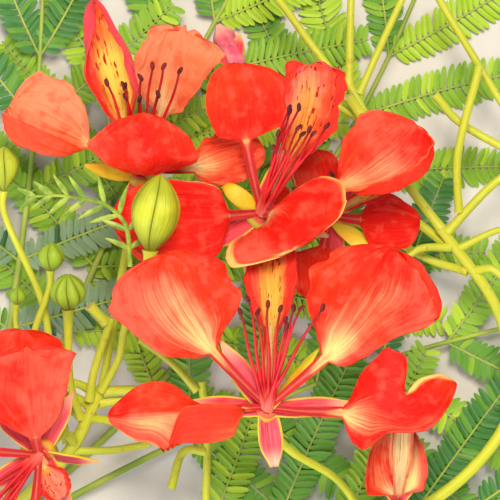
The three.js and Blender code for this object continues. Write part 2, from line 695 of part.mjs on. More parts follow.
// Bare stalks that have dropped their blooms, most with a blunt scar at the end
const bareStalks = [
  { name: 'bare_left_1', on: 'raceme_left', share: 0.975, through: [[-43, -52, 38], [-31, -53, 38]], radii: [1.8, 1.7] },
  { name: 'bare_left_2', on: 'raceme_left', share: 0.9, through: [[-47, -56, 33], [-35, -58, 32]], radii: [1.7, 1.5] },
  { name: 'bare_left_3', on: 'raceme_left', share: 0.82, through: [[-52, -64, 29], [-41, -68, 28]], radii: [1.6, 1.4] },
  { name: 'bare_left_4', on: 'raceme_left', share: 0.6, through: [[-52, -75, 27], [-37.5, -72.5, 27]], radii: [1.5, 1.4] },
  { name: 'bare_left_5', on: 'raceme_left', share: 0.955, through: [[-64, -50, 32], [-70, -49, 31]], radii: [1.7, 1.5] },
  { name: 'bare_left_6', on: 'raceme_left', share: 0.87, through: [[-65, -55, 29], [-71, -54, 28]], radii: [1.6, 1.4] },
  { name: 'bare_left_7', on: 'raceme_left', share: 0.79, through: [[-67, -60, 27], [-72, -59, 26]], radii: [1.6, 1.4] },
  { name: 'bare_left_8', on: 'raceme_left', share: 0.8, through: [[-58, -46, 41], [-51, -25, 46]], radii: [1.6, 1.5] },
  { name: 'bare_left_9', on: 'bare_left_8', share: 0.9, through: [[-59, -20.5, 49]], radii: [1.8, 1.9] },
  { name: 'bare_middle_1', on: 'raceme_middle', share: 0.9, through: [[-29, -42, 37], [-41, -33, 39]], radii: [1.5, 1.4] },
  { name: 'bare_middle_2', on: 'raceme_middle', share: 0.55, through: [[-24.5, -75, 31], [-29.5, -89, 30]], radii: [1.5, 1.6] },
  { name: 'bare_right_1', on: 'raceme_right', share: 0.965, through: [[93, 7.5, 33], [102, 7, 32]], radii: [1.4, 1.2] },
  { name: 'bare_right_2', on: 'raceme_right', share: 0.97, through: [[62, 0, 37], [50, -12, 38]], radii: [1.5, 1.4] },
  { name: 'bare_right_3', on: 'raceme_right', share: 0.93, through: [[90, -7, 35], [102, -18, 33]], radii: [1.5, 1.4] },
  { name: 'bare_right_4', on: 'raceme_right_end', share: 0.12, through: [[77, 34, 38], [85, 68, 40]], radii: [1.5, 1.6] },
  { name: 'bare_right_5', on: 'raceme_right_end', share: 0.9, through: [[78, 48, 29], [69, 58, 30]], radii: [1.5, 1.6] },
  { name: 'bare_right_6', on: 'raceme_right_end', share: 0.97, through: [[93, 57, 28], [73, 90, 28], [69, 97, 28]], radii: [1.5, 1.4] },
  { name: 'bare_top_1', on: 'raceme_top', share: 0.86, through: [[25, 74, 29], [11, 93, 31], [6, 99, 32]], radii: [1.5, 1.4] },
  { name: 'bare_top_2', on: 'raceme_top', share: 1, through: [[37.5, 88, 33], [38, 99, 33]], radii: [1.5, 1.4] },
  { name: 'bare_top_3', on: 'raceme_top', share: 0.9, through: [[58, 96, 32], [60, 99, 32]], radii: [1.4, 1.3] },
  { name: 'bare_top_4', on: 'raceme_top', share: 0.6, through: [[36.5, 57, 38]], radii: [2, 2.1] },
];

for (const one of sideStalks) sideStalk(one);
for (const one of bareStalks) sideStalk({ rows: 3, ...one });

// A wilted bloom, rolled up and still on its stalk, at the top
const fadedAxis = toward(116, 14);
const fadedFoot = vec(-3.5, 66, 36);
const fadedAt = (distance) => fadedFoot.clone().addScaledVector(fadedAxis, distance);
carried.bloom_faded = { foot: fadedFoot, axis: fadedAxis };
addPiece(
  'bloom_faded',
  fused([
    solid(tube([fadedAt(0), fadedAt(9), fadedAt(20)], [1.8, 4.2, 3.6, 4.4, 1.4], 7, 5)),
    sepal(fadedAt(4), { heading: [160, 150], lift: [30, 10], length: 13, width: 5 }),
    sepal(fadedAt(4), { heading: [80, 90], lift: [30, 10], length: 12, width: 5 }),
  ]),
  colours.faded,
  0.7,
);
sideStalk({
  name: 'stalk_faded_bloom', on: 'raceme_top', share: 0.74, radii: [1.5, 1.4, 1.6],
  through: [[15, 62, 31], [4, 60, 32]], under: 'bloom_faded',
});

/** Outline of a pinna, cut to its rib between groups of leaflets that slant forward. */
function pinnaOutline(length, width) {
  const rib = pinnaRibWidth / 2;
  const pitch = length / pinnaTeeth;
  const side = [];
  for (let k = 0; k < pinnaTeeth; k++) {
    const middle = (k + 0.5) / pinnaTeeth;
    side.push([pitch * k, rib]);
    side.push([pitch * (k + 0.8), (width / 2) * Math.sqrt(Math.sin(Math.PI * (0.15 + 0.7 * middle)))]);
  }
  const shape = new THREE.Shape();
  side.forEach(([x, y], k) => (k === 0 ? shape.moveTo(x, -y) : shape.lineTo(x, -y)));
  shape.lineTo(length, 0);
  for (const [x, y] of side.reverse()) shape.lineTo(x, y);
  return shape;
}

/** A flat blade on its side of a rachis: its root at a place, its tip towards a heading. */
function blade(shape, at, heading, thickness) {
  const geometry = new THREE.ExtrudeGeometry(shape, { depth: thickness, bevelEnabled: false });
  geometry.translate(0, 0, -thickness / 2);
  geometry.rotateZ(radians(heading));
  geometry.translate(at.x, at.y, at.z);
  return solid(closed(geometry));
}

/** A leaf's line from its start: it turns through headings and comes level at a height. */
function leafLine({ start, headings, length, level }) {
  const steps = 40;
  const points = [start.clone()];
  for (let k = 0; k < steps; k++) {
    const t = (k + 1) / steps;
    const next = points[k].clone().add(
      toward(along(headings, t - 0.5 / steps), 0).multiplyScalar(length / steps),
    );
    next.z = start.z + (level - start.z) * ease(0, petioleLength / length, t);
    points.push(next);
  }
  return new THREE.CatmullRomCurve3(points, false, 'centripetal');
}

/** A twice-divided leaf: a rachis with pinnae in pairs, each pinna one blade of many leaflets. */
function leaf(spec) {
  const curve = leafLine(spec);
  const rows = 8;
  const points = [];
  for (let row = 0; row <= rows; row++) points.push(curve.getPointAt(row / rows));
  const parts = [solid(tube(points, [1, 0.93, 0.85, 0.7, 0.55].map((share) => share * rachisRadius), 5, rows))];
  const span = spec.length - petioleLength;
  const pairs = Math.floor(span / pinnaSpacing);
  for (let pair = 0; pair <= pairs; pair++) {
    const t = (petioleLength + pair * pinnaSpacing) / spec.length;
    const at = curve.getPointAt(Math.min(t, 0.995));
    const forward = curve.getTangentAt(Math.min(t, 0.995));
    const heading = (Math.atan2(forward.y, forward.x) * 180) / Math.PI;
    const length = pinnaLength * along([0.8, 1, 1, 0.92, 0.7], pair / pairs);
    for (const side of [-1, 1]) {
      const shape = pinnaOutline(length, pinnaWidth);
      parts.push(blade(shape, at, heading + side * along(pinnaAngles, pair / pairs), leafThickness));
    }
  }
  addPiece(spec.name, fused(parts), spec.colour, 0.6);
}

// Leaves spread out under the blooms, each on its own level so that they lie clear of each other
const ahead = toward(47.5, 0);
const across = toward(137.5, 0);
const onTip = (side, height) =>
  branchTip.clone().addScaledVector(ahead, 1).addScaledVector(across, side).setZ(height);
const leaves = [
  { name: 'leaf_far', start: onTip(0, 4.2), headings: [40, 52, 68], length: 268, level: 1.5, colour: colours.leafSunlit },
  { name: 'leaf_upper', start: onTip(3.3, 4.9), headings: [72, 66, 60], length: 232, level: 4.5, colour: colours.leafSunlit },
  { name: 'leaf_right', start: onTip(-3.3, 4.9), headings: [30, 22, 12], length: 222, level: 7.5, colour: colours.leaf },
  { name: 'leaf_left', on: 'branch', share: 0.55, headings: [82, 82, 88], length: 204, level: 10.5, colour: colours.leaf },
  { name: 'leaf_lower', on: 'branch', share: 0.6, headings: [4, 4, 14], length: 198, level: 10.5, colour: colours.leaf },
];
for (const one of leaves) {
  if (one.on) {
    const next = onStalk(one.on, one.share).at.addScaledVector(toward(one.headings[0], 4), 30);
    one.start = seatOn(one.on, one.share, next, rachisRadius * 0.8);
  }
  leaf(one);
}

/** The young leaf beside the large bud: one rachis with small narrow leaflets. */
function youngLeaf({ name, through, radii, pairs, leafletLength, leafletWidth }) {
  const points = through.map((p) => vec(...p));
  const curve = new THREE.CatmullRomCurve3(points, false, 'centripetal');
  const parts = [solid(tube(points, radii, 5, 6))];
  for (let pair = 0; pair < pairs; pair++) {
    const t = 0.12 + (0.84 * pair) / (pairs - 1);
    const at = curve.getPointAt(t);
    const forward = curve.getTangentAt(t);
    const heading = (Math.atan2(forward.y, forward.x) * 180) / Math.PI;
    for (const side of [-1, 1]) {
      const long = leafletLength * along([0.8, 1, 0.95, 0.6], t);
      const shape = new THREE.Shape();
      shape.moveTo(0, -0.35);
      shape.lineTo(long * 0.45, -leafletWidth / 2);
      shape.lineTo(long, 0);
      shape.lineTo(long * 0.45, leafletWidth / 2);
      shape.lineTo(0, 0.35);
      parts.push(blade(shape, at, heading + side * 52, youngLeafThickness));
    }
  }
  addPiece(name, fused(parts), colours.youngLeaf, 0.6);
}

youngLeaf({
  name: 'leaf_young',
  through: [[-43.4, -6, 70], [-43.8, 3, 71], [-45, 9, 70], [-49, 14, 68.5], [-54, 17, 67], [-61, 18.6, 65], [-70, 19.8, 62], [-80.5, 19.4, 58]],
  radii: [0.8, 0.7, 0.6, 0.4], pairs: 8, leafletLength: 10.5, leafletWidth: 2.6,
});

// Move the origin to the middle of the footprint, level with the lowest point
const whole = new THREE.Box3().setFromObject(spray, true);
const middle = whole.getCenter(vec(0, 0, 0));
spray.position.set(-middle.x, -middle.y, -whole.min.z);

export default spray;
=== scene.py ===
# Cut flowering spray of a flame tree, lying down under a camera that looks straight down.
# Everything is worked out in millimetres, around the middle of the open blooms as in the part's
# source, and goes to metres in the row frame when a mesh is made.
# Headings are degrees counter-clockwise from +X seen from above, lifts are degrees above level.

import math
import random

import bpy
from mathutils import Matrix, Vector, noise


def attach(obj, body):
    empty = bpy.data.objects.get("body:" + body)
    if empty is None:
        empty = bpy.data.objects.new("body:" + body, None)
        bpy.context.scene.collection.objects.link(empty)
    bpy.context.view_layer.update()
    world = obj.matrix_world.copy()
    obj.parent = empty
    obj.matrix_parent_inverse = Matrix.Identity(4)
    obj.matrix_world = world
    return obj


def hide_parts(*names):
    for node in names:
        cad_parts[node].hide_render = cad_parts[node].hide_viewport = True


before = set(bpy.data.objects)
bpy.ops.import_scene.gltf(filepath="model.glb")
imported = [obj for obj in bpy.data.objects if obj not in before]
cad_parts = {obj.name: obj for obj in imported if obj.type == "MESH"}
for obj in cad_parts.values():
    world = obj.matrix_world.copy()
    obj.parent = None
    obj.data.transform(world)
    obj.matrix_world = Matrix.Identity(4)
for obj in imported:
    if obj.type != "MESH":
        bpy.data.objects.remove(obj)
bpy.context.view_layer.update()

MM = 0.001
FOOTPRINT_SHIFT = Vector((-0.705, 6.238, -0.247))  # from the middle of the blooms to the row frame

# Thicknesses and girths of the living pieces, finer than the solids that stand for them
PETAL_THICKNESS = 0.42
PETAL_TIP = 0.8
PINCH = 0.12  # share of a blade's thickness that is left each side of its margin
CLAW_FOOT = 0.72  # how narrow a claw starts, as a share of its half-width
CLAW_GAIN = 0.45
CLAW_CUP = 55  # degrees that a claw is bent up along its middle
SEPAL_THICKNESS = 0.9
SEPAL_WIDTH = 7.4
SEPAL_CUP = 28
FILAMENT_RADIUS = 0.5
ANTHER_LENGTH = 3.4
ANTHER_RADIUS = 0.75
CUP_RADIUS = 4.3
CUP_DEPTH = 8
CUP_LENGTH = 6.4
PETAL_DEPTH = 0.5  # how far down the cup the petals, the stamens and the sepals grow from
STAMEN_DEPTH = 0.6
SEPAL_DEPTH = 3
STAMEN_RING = 1.5
SEAT = 0.3
STALK_END = 6  # the straight end of a stalk under a bloom or bud
RACHIS_RADIUS = 1.4
LOWEST = 0.4  # the floor is a little below this height

# Sizes of the leaves
PETIOLE_LENGTH = 76
PINNA_SPACING = 26
PINNA_LENGTH = 76
PINNA_ANGLES = [66, 62, 58, 44, 24]
LEAFLET_LENGTH = 9.4
LEAFLET_WIDTH = 2.5
LEAFLET_SPACING = 2.45
LEAFLET_ANGLE = 66
LEAFLET_DROOP = 0.08
LEAFLET_FOLD = 0.22

# How finely the pieces are meshed
CLAW_ROWS = 10
BLADE_ROWS = 44
PETAL_COLUMNS = 44
SEPAL_ROWS = 16
SEPAL_COLUMNS = 10
BUD_ROWS = 34
BUD_SEPAL_COLUMNS = 8
STAMEN_STEPS, STAMEN_SIDES = 14, 8
ANTHER_STEPS, ANTHER_SIDES = 8, 7
CUP_STEPS, CUP_SIDES = 18, 20
STALK_STEP, STALK_SIDES = 1.6, 12
RACHIS_STEPS, RACHIS_SIDES = 120, 10
PINNA_STEPS, PINNA_SIDES = 12, 6
YOUNG_STEPS, YOUNG_SIDES = 60, 8
BUNDLE_STEPS, BUNDLE_SIDES = 40, 36
LINE_STEPS = 40
CURVE_STEPS = 24

# Which of the petal skins a petal has
PLAIN, BLEACHED, FLECKED = range(3)


# Directions, lines and curves


def toward(heading, lift):
    """Direction of a heading and a lift, as a unit vector."""
    h = math.radians(heading)
    l = math.radians(lift)
    return Vector((math.cos(h) * math.cos(l), math.sin(h) * math.cos(l), math.sin(l)))


def level_left(heading):
    """Level direction to the left of a heading, as a unit vector."""
    h = math.radians(heading)
    return Vector((-math.sin(h), math.cos(h), 0))


def heading_of(step):
    """The heading of a step, seen from above."""
    return math.degrees(math.atan2(step.y, step.x))


def along(values, t):
    """Smooth value at t (0 to 1) of numbers given at even stations."""
    x = min(max(t, 0), 1) * (len(values) - 1)
    i = min(int(x), len(values) - 2)
    f = x - i
    last = len(values) - 1
    a, b, c, d = (values[min(max(k, 0), last)] for k in (i - 1, i, i + 1, i + 2))
    return b + 0.5 * f * (c - a + f * (2 * a - 5 * b + 4 * c - d + f * (3 * (b - c) + d - a)))


def ease(low, high, x):
    """Smooth step from 0 at low to 1 at high."""
    t = min(max((x - low) / (high - low), 0), 1)
    return t * t * (3 - 2 * t)


def wander(x, y, z):
    """Smooth noise between about -1 and 1."""
    return noise.noise(Vector((x, y, z)))


def on_line(line, share):
    """The place at a share of a line's points, and the step of the line there."""
    x = share * (len(line) - 1)
    k = min(int(x), len(line) - 2)
    return line[k].lerp(line[k + 1], x - k), line[k + 1] - line[k]


def spine(root, length, headings, lifts, stops):
    """Places and frames along a line that follows headings and lifts over its length."""
    path = [Vector(root)]
    for k in range(LINE_STEPS):
        t = (k + 0.5) / LINE_STEPS
        path.append(path[k] + toward(along(headings, t), along(lifts, t)) * (length / LINE_STEPS))
    frames = []
    for t in stops:
        ahead = toward(along(headings, t), along(lifts, t))
        left = level_left(along(headings, t))
        frames.append((on_line(path, t)[0], ahead, left, ahead.cross(left)))
    return frames


def rolled(frame_at, degrees):
    """A frame rolled about its own spine, left side up."""
    at, ahead, left, up = frame_at
    r = math.radians(degrees)
    left = left * math.cos(r) + up * math.sin(r)
    return at, ahead, left, ahead.cross(left)


def half_profile(width, cup, start, end, turn):
    """One side of a blade's section from its middle to its margin, as points and slopes.

    It cups evenly by one angle, and folds by another between two shares of its width.
    """
    points = [(0.0, 0.0, 0.0)]
    for k in range(1, CURVE_STEPS + 1):
        t = (k - 0.5) / CURVE_STEPS
        angle = math.radians(cup * t + turn * ease(start, end, t))
        x, z, _ = points[k - 1]
        x += math.cos(angle) * width / CURVE_STEPS
        z += math.sin(angle) * width / CURVE_STEPS
        points.append((x, z, angle))
    return points


def on_profile(points, t):
    """The place and slope at a share of a half profile."""
    x = t * (len(points) - 1)
    k = min(int(x), len(points) - 2)
    f = x - k
    return [a + (b - a) * f for a, b in zip(points[k], points[k + 1])]


def curve_points(through, count):
    """Evenly spaced points on the centripetal curve through a few points, as in the source."""
    given = [Vector(p) for p in through]
    padded = [given[0] * 2 - given[1]] + given + [given[-1] * 2 - given[-2]]
    dense = []
    for k in range(len(given) - 1):
        p0, p1, p2, p3 = padded[k:k + 4]
        d0, d1, d2 = (max((b - a).length ** 0.5, 1e-4) for a, b in ((p0, p1), (p1, p2), (p2, p3)))
        t1 = ((p1 - p0) / d0 - (p2 - p0) / (d0 + d1) + (p2 - p1) / d1) * d1
        t2 = ((p2 - p1) / d1 - (p3 - p1) / (d1 + d2) + (p3 - p2) / d2) * d1
        for step in range(CURVE_STEPS):
            u = step / CURVE_STEPS
            a = 2 * u ** 3 - 3 * u ** 2 + 1
            b = u ** 3 - 2 * u ** 2 + u
            c = -2 * u ** 3 + 3 * u ** 2
            d = u ** 3 - u ** 2
            dense.append(p1 * a + t1 * b + p2 * c + t2 * d)
    dense.append(given[-1])
    return even_points(dense, count)


def even_points(dense, count):
    """Points at even distances along a line of many points."""
    lengths = [0.0]
    for a, b in zip(dense, dense[1:]):
        lengths.append(lengths[-1] + (b - a).length)
    found = []
    k = 0
    for step in range(count):
        goal = lengths[-1] * step / (count - 1)
        while k < len(dense) - 2 and lengths[k + 1] < goal:
            k += 1
        part = (goal - lengths[k]) / max(lengths[k + 1] - lengths[k], 1e-9)
        found.append(dense[k].lerp(dense[k + 1], min(max(part, 0), 1)))
    return found


# Meshes


class Pile:
    """Points and faces of one joined piece, with what its material needs to know at each point."""

    def __init__(self):
        self.points = []
        self.faces = []
        self.kinds = []  # material number of each face
        self.place = []  # across, along, and a number of its own for each part
        self.look = []  # what the part's finish differs by
        self.under = []  # 1 on the underside of a blade

    def add(self, points, faces, place, look=None, kind=0, under=None):
        base = len(self.points)
        self.points.extend(points)
        self.place.extend(place)
        self.look.extend(look or [(0.0, 0.0, 0.0)] * len(points))
        self.under.extend(under or [0.0] * len(points))
        self.faces.extend([base + k for k in face] for face in faces)
        self.kinds.extend([kind] * len(faces))


def make_piece(node, part, pile, materials, smooth=True):
    """A joined part of what a solid stands for, in the row frame, riding on the one body."""
    name = node + "_" + part
    mesh = bpy.data.meshes.new(name)
    mesh.from_pydata([(p + FOOTPRINT_SHIFT) * MM for p in pile.points], [], pile.faces)
    for key, values in (("place", pile.place), ("look", pile.look)):
        layer = mesh.attributes.new(key, "FLOAT_VECTOR", "POINT")
        layer.data.foreach_set("vector", [number for value in values for number in value])
    mesh.attributes.new("under", "FLOAT", "POINT").data.foreach_set("value", pile.under)
    for material in materials:
        mesh.materials.append(material)
    mesh.polygons.foreach_set("material_index", pile.kinds)
    mesh.polygons.foreach_set("use_smooth", [smooth] * len(mesh.polygons))
    mesh.validate()
    mesh.update()
    piece = bpy.data.objects.new(name, mesh)
    bpy.context.scene.collection.objects.link(piece)
    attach(piece, "root")
    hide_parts(node)


def shares_across(columns):
    """Shares across a blade at even columns, from 1 at its left margin to -1 at its right one."""
    return [1 - 2 * c / (columns - 1) for c in range(columns)]


def grid_faces(rows, columns, offset, flipped):
    """Quads over a grid of points."""
    faces = []
    for r in range(rows - 1):
        for c in range(columns - 1):
            a = offset + r * columns + c
            quad = [a, a + 1, a + columns + 1, a + columns]
            faces.append(quad[::-1] if flipped else quad)
    return faces


def ring_faces(rings, sides):
    """Quads between rings of points."""
    faces = []
    for k in range(rings - 1):
        for s in range(sides):
            a = k * sides + s
            b = k * sides + (s + 1) % sides
            faces.append([a, b, b + sides, a + sides])
    return faces


def sheet_between(pile, grid, places, thickness, look=None, kind=0):
    """A thin two-faced blade over a grid of points, pinched shut along its margin."""
    rows = len(grid)
    columns = len(grid[0])
    upper = []
    lower = []
    for r in range(rows):
        for c in range(columns):
            here = grid[r][c]
            ahead = grid[min(r + 1, rows - 1)][c] - grid[max(r - 1, 0)][c]
            side = grid[r][min(c + 1, columns - 1)] - grid[r][max(c - 1, 0)]
            normal = side.cross(ahead)
            if normal.length > 1e-9:
                normal.normalize()
            rim = c in (0, columns - 1) or r in (0, rows - 1)
            half = thickness * (PINCH if rim else 0.5)
            upper.append(here + normal * half)
            lower.append(here - normal * half)
    faces = grid_faces(rows, columns, 0, False) + grid_faces(rows, columns, rows * columns, True)
    ring = [(0, c) for c in range(columns)] + [(r, columns - 1) for r in range(1, rows)]
    ring += [(rows - 1, c) for c in range(columns - 2, -1, -1)] + [(r, 0) for r in range(rows - 2, 0, -1)]
    for (r0, c0), (r1, c1) in zip(ring, ring[1:] + ring[:1]):
        a = r0 * columns + c0
        b = r1 * columns + c1
        faces.append([b, a, a + rows * columns, b + rows * columns])
    flat = [place for row in places for place in row]
    looks = [look(place) for place in flat] * 2 if look else None
    pile.add(upper + lower, faces, flat * 2, looks, kind, [0.0] * len(upper) + [1.0] * len(lower))


def round_tube(pile, line, radius_at, sides, number, cap_kind=0, ripple=None):
    """A closed tube along a line. Its ends are flat discs, which may be of a kind of their own."""
    count = len(line)
    normal = None
    rings = []
    places = []
    for k, at in enumerate(line):
        ahead = (line[min(k + 1, count - 1)] - line[max(k - 1, 0)]).normalized()
        if normal is None:
            normal = ahead.orthogonal().normalized()
        normal = (normal - ahead * normal.dot(ahead)).normalized()
        other = ahead.cross(normal)
        share = k / (count - 1)
        for s in range(sides):
            turn = 2 * math.pi * s / sides
            radius = radius_at(share)
            if ripple:
                radius *= ripple(share, turn)
            rings.append(at + (normal * math.cos(turn) + other * math.sin(turn)) * radius)
            places.append((s / sides, share, number))
    pile.add(rings, ring_faces(count, sides), places)
    disc = list(range(sides))
    pile.add(rings[:sides], [disc[::-1]], [(0.0, 0.0, number)] * sides, kind=cap_kind)
    pile.add(rings[-sides:], [disc], [(0.0, 1.0, number)] * sides, kind=cap_kind)


# The living forms


NO_FOLD = dict(start=[0.5, 0.5], soft=0.5, turn=[0, 0])


def petal(pile, centre, number, claw, blade, heading, lift, cup, left, right, claw_half=1.9,
          fold_left=NO_FOLD, fold_right=NO_FOLD, ruffle=1.5, wrinkle=0.6, ragged=0.05, wedge=1.15,
          flush=0.5, pale=0.4, rim=0.35, rim_from=0, skin=PLAIN):
    """A petal: a narrow claw, then a round blade with a ruffled margin, as in the source but finer.

    Its rows go from -1 to 0 along the claw and from 0 to 1 along the blade.
    """
    length = claw + blade
    neck = claw / length
    rows = [-1 + k / CLAW_ROWS for k in range(CLAW_ROWS)] + [k / BLADE_ROWS for k in range(BLADE_ROWS + 1)]
    stops = [neck * (1 + b) if b < 0 else neck + (1 - neck) * (1 - math.cos(math.pi * b)) / 2 for b in rows]
    columns = shares_across(PETAL_COLUMNS)
    sides = [([claw_half] + left + [PETAL_TIP], fold_left), ([claw_half] + right + [PETAL_TIP], fold_right)]
    grid = []
    for row, t, frame_at in zip(rows, stops, spine(centre, length, heading, lift, stops)):
        at, ahead, aside, up = frame_at
        b = max(row, 0)  # share of the blade, 0 all along the claw
        claw_now = claw_half * (CLAW_FOOT + CLAW_GAIN * ease(-1, 0, row))
        most = claw_now + wedge * (max(t - neck, 0) * length)
        bend = cup * ease(0, 0.3, b) + CLAW_CUP * ease(0.12, -0.1, row)
        halves = []
        for widths, fold in sides:
            width = min(along(widths, b), most) if b > 0 else claw_now
            start = along(fold["start"], b)
            halves.append(half_profile(width, bend, start, start + fold["soft"], along(fold["turn"], b)))
        room = ease(1, 9, max(half[-1][0] for half in halves))
        opened = ease(0.05, 0.3, b)
        line = []
        for v in columns:
            x, z, slope = on_profile(halves[0 if v >= 0 else 1], abs(v))
            notch = wander(b * 7, v * 2 + 9, number) + 0.6 * wander(b * 19, v * 5, number + 2)
            scallop = 1 + ragged * abs(v) * opened * notch
            lip = ragged * ease(0.6, 1, b) * blade * wander(v * 3, number, 3) * room
            brim = max(ease(0.3, 1, abs(v)) * opened, ease(0.72, 1, b))
            wave = wander(b * 4.5 + 3 * number, v * 2.2, number) + 0.55 * wander(b * 13, v * 7, number + 7)
            crease = 1 - 2.4 * abs(wander(v * 5, b * 1.6, number + 3))
            crease = crease + 0.7 * wander(v * 15, b * 5, number + 5)
            crease = crease + 0.4 * wander(v * 24, b * 13, number + 1)
            offset = (ruffle * brim * wave + wrinkle * crease * opened) * room
            x = x * scallop - math.sin(slope) * offset
            z = z * scallop + math.cos(slope) * offset
            line.append(at + aside * (x if v >= 0 else -x) + up * z + ahead * lip)
        grid.append(line)
    finish = [value if isinstance(value, list) else [value, value] for value in (flush, pale, rim)]

    def look_at(place):
        leftness = ease(-0.7, 0.7, place[0])
        flush_here, pale_here, rim_here = (one + (other - one) * leftness for other, one in finish)
        return flush_here, pale_here, rim_here * ease(-0.1, 0.1, place[1] - rim_from)

    places = [[(v, row, number) for v in columns] for row in rows]
    sheet_between(pile, grid, places, PETAL_THICKNESS, look_at, skin)


def sepal(pile, centre, number, heading, lift, length, roll=0, width=SEPAL_WIDTH, tip=0.12):
    """A sepal: a pointed strap, hollow along its middle, its margins a little curled."""
    stops = [k / SEPAL_ROWS for k in range(SEPAL_ROWS + 1)]
    columns = shares_across(SEPAL_COLUMNS)
    grid = []
    for t, frame_at in zip(stops, spine(centre, length, heading, lift, stops)):
        at, _, left, up = rolled(frame_at, roll)
        half = width / 2 * along([0.75, 1, 0.9, tip], t)
        profile = half_profile(half, SEPAL_CUP, 0.5, 1, 30 * wander(t * 3, number, 0))
        line = []
        for v in columns:
            x, z, _ = on_profile(profile, abs(v))
            z += 0.35 * wander(t * 7, v * 2, number)
            line.append(at + left * (x if v >= 0 else -x) + up * z)
        grid.append(line)
    sheet_between(pile, grid, [[(v, t, number) for v in columns] for t in stops], SEPAL_THICKNESS)


def stamen(filaments, anthers, root, number, heading, lift, length):
    """A stamen: a thin filament that bends up towards its hinged anther."""
    stops = [k / STAMEN_STEPS for k in range(STAMEN_STEPS + 1)]
    frames = spine(root, length * 0.97, [heading, heading], [lift, lift * 0.7, lift + 10], stops)
    line = [f[0] + f[2] * (0.5 * math.sin(9 * t + number)) * t for f, t in zip(frames, stops)]
    taper = [2.1, 1.5, 1.05, 0.8]
    round_tube(filaments, line, lambda t: FILAMENT_RADIUS * along(taper, t), STAMEN_SIDES, number)
    turn = toward(heading + 90 * wander(number, 2, 0), 10 + 50 * wander(number, 5, 0))
    body = [line[-1] + turn * (ANTHER_LENGTH * (k / ANTHER_STEPS - 0.35)) for k in range(ANTHER_STEPS + 1)]
    round_tube(
        anthers, body, lambda t: ANTHER_RADIUS * max(math.sin(math.pi * t), 0) ** 0.5 + 0.05, ANTHER_SIDES,
        number, ripple=lambda t, turn: 1 - 0.28 * math.cos(turn * 2))


def bloom(seed, name, centre, facing, petals, sepals, stamens=None):
    """An open bloom: petals, sepals, calyx cup and stamens, each kind one piece."""
    centre = Vector(centre)
    axis = toward(*facing)
    pile = Pile()
    for k, one in enumerate(petals):
        petal(pile, centre - axis * PETAL_DEPTH, seed + k + 0.37, **one)
    make_piece(name, "petals", pile, [petal_skin, bleached_skin, standard_skin])
    pile = Pile()
    for k, one in enumerate(sepals):
        sepal(pile, centre - axis * SEPAL_DEPTH, seed + k + 0.71, *one)
    make_piece(name, "sepals", pile, [sepal_skin])
    cup = Pile()
    line = [centre + axis * (-CUP_DEPTH + CUP_LENGTH * k / CUP_STEPS) for k in range(CUP_STEPS + 1)]
    round_tube(
        cup, line, lambda t: along([1.9, 4, CUP_RADIUS, 3.4], t), CUP_SIDES, seed,
        ripple=lambda t, turn: 1 + 0.05 * math.cos(5 * turn))
    make_piece(name, "cup", cup, [cup_skin])
    if stamens:
        lift, headings, lengths = stamens
        filaments = Pile()
        anthers = Pile()
        for k, (heading, length) in enumerate(zip(headings, lengths)):
            side = axis.cross(toward(heading, 0)).normalized()
            ahead = side.cross(axis)
            turn = 2 * math.pi * k / len(headings)
            root = centre - axis * STAMEN_DEPTH
            root = root + side * (STAMEN_RING * math.cos(turn)) + ahead * (STAMEN_RING * math.sin(turn))
            stamen(filaments, anthers, root, seed + k * 1.3, heading, lift, length)
        make_piece(name, "filaments", filaments, [filament_skin])
        make_piece(name, "anthers", anthers, [anther_skin])
    return centre - axis * CUP_DEPTH, axis


def bud(seed, name, foot, heading, lift, length, radius, green=0.5, pear=1.06, ribs=5, rib_depth=0.05,
        twist=0.35, turned=0):
    """A bud: sepals shut edge to edge over the petals, with a seam at each edge."""
    axis = toward(heading, lift)
    left = level_left(heading)
    up = axis.cross(left)
    foot = Vector(foot)
    sides = ribs * BUD_SEPAL_COLUMNS
    points = []
    places = []
    for r in range(BUD_ROWS + 1):
        t = r / BUD_ROWS
        girth = max(math.sin(math.pi * t ** pear) ** 0.7, 0.2 * (1 - 4 * t), 0.02)
        for s in range(sides):
            turn = 2 * math.pi * s / sides - twist * t - turned
            out = left * math.cos(turn) + up * math.sin(turn)
            seam = abs(math.cos(math.pi * s / BUD_SEPAL_COLUMNS))
            swell = radius * girth * (1 + rib_depth * (seam - 0.75) * ease(0, 0.2, t) * ease(1, 0.85, t))
            swell *= 1 + 0.02 * wander(math.cos(turn) * 1.5, math.sin(turn) * 1.5, t * 3 + seed)
            points.append(foot + axis * (length * t) + out * swell)
            places.append((seam, t, seed))
    faces = ring_faces(BUD_ROWS + 1, sides)
    faces.append(list(range(sides))[::-1])
    faces.append([BUD_ROWS * sides + s for s in range(sides)])
    pile = Pile()
    pile.add(points, faces, places, [(green, 0.0, 0.0)] * len(points))
    make_piece(name, "skin", pile, [bud_skin])
    return foot, axis


# Stalks


stalk_lines = {}  # the faceted line and the radii of each stalk, as the source has them
carried = {}  # where a stalk ends under each bloom or bud, and which way that one faces


def on_stalk(name, share):
    """The point of a stalk's faceted line at a share of it, and the direction of the line there."""
    at, step = on_line(stalk_lines[name][0], share)
    return at, step.normalized()


def seat_on(carrier, share, goal, radius):
    """Where a side stalk that heads for a point starts, just clear of its carrier, and its direction."""
    at, axis = on_stalk(carrier, share)
    # half-way between the flats and the corners of the source's six-sided stalk
    girth = along(stalk_lines[carrier][1], share) * (1 + math.cos(math.pi / 6)) / 2
    out = (goal - at).normalized()
    lean = out.dot(axis)
    square = math.sqrt(max(1 - lean * lean, 1e-6))
    past_side = (girth + SEAT + radius * abs(lean)) / square
    past_end = ((on_stalk(carrier, 1)[0] - at).dot(axis) + SEAT + radius * square) / max(lean, 0.01)
    return at + out * min(past_side, past_end), out, girth


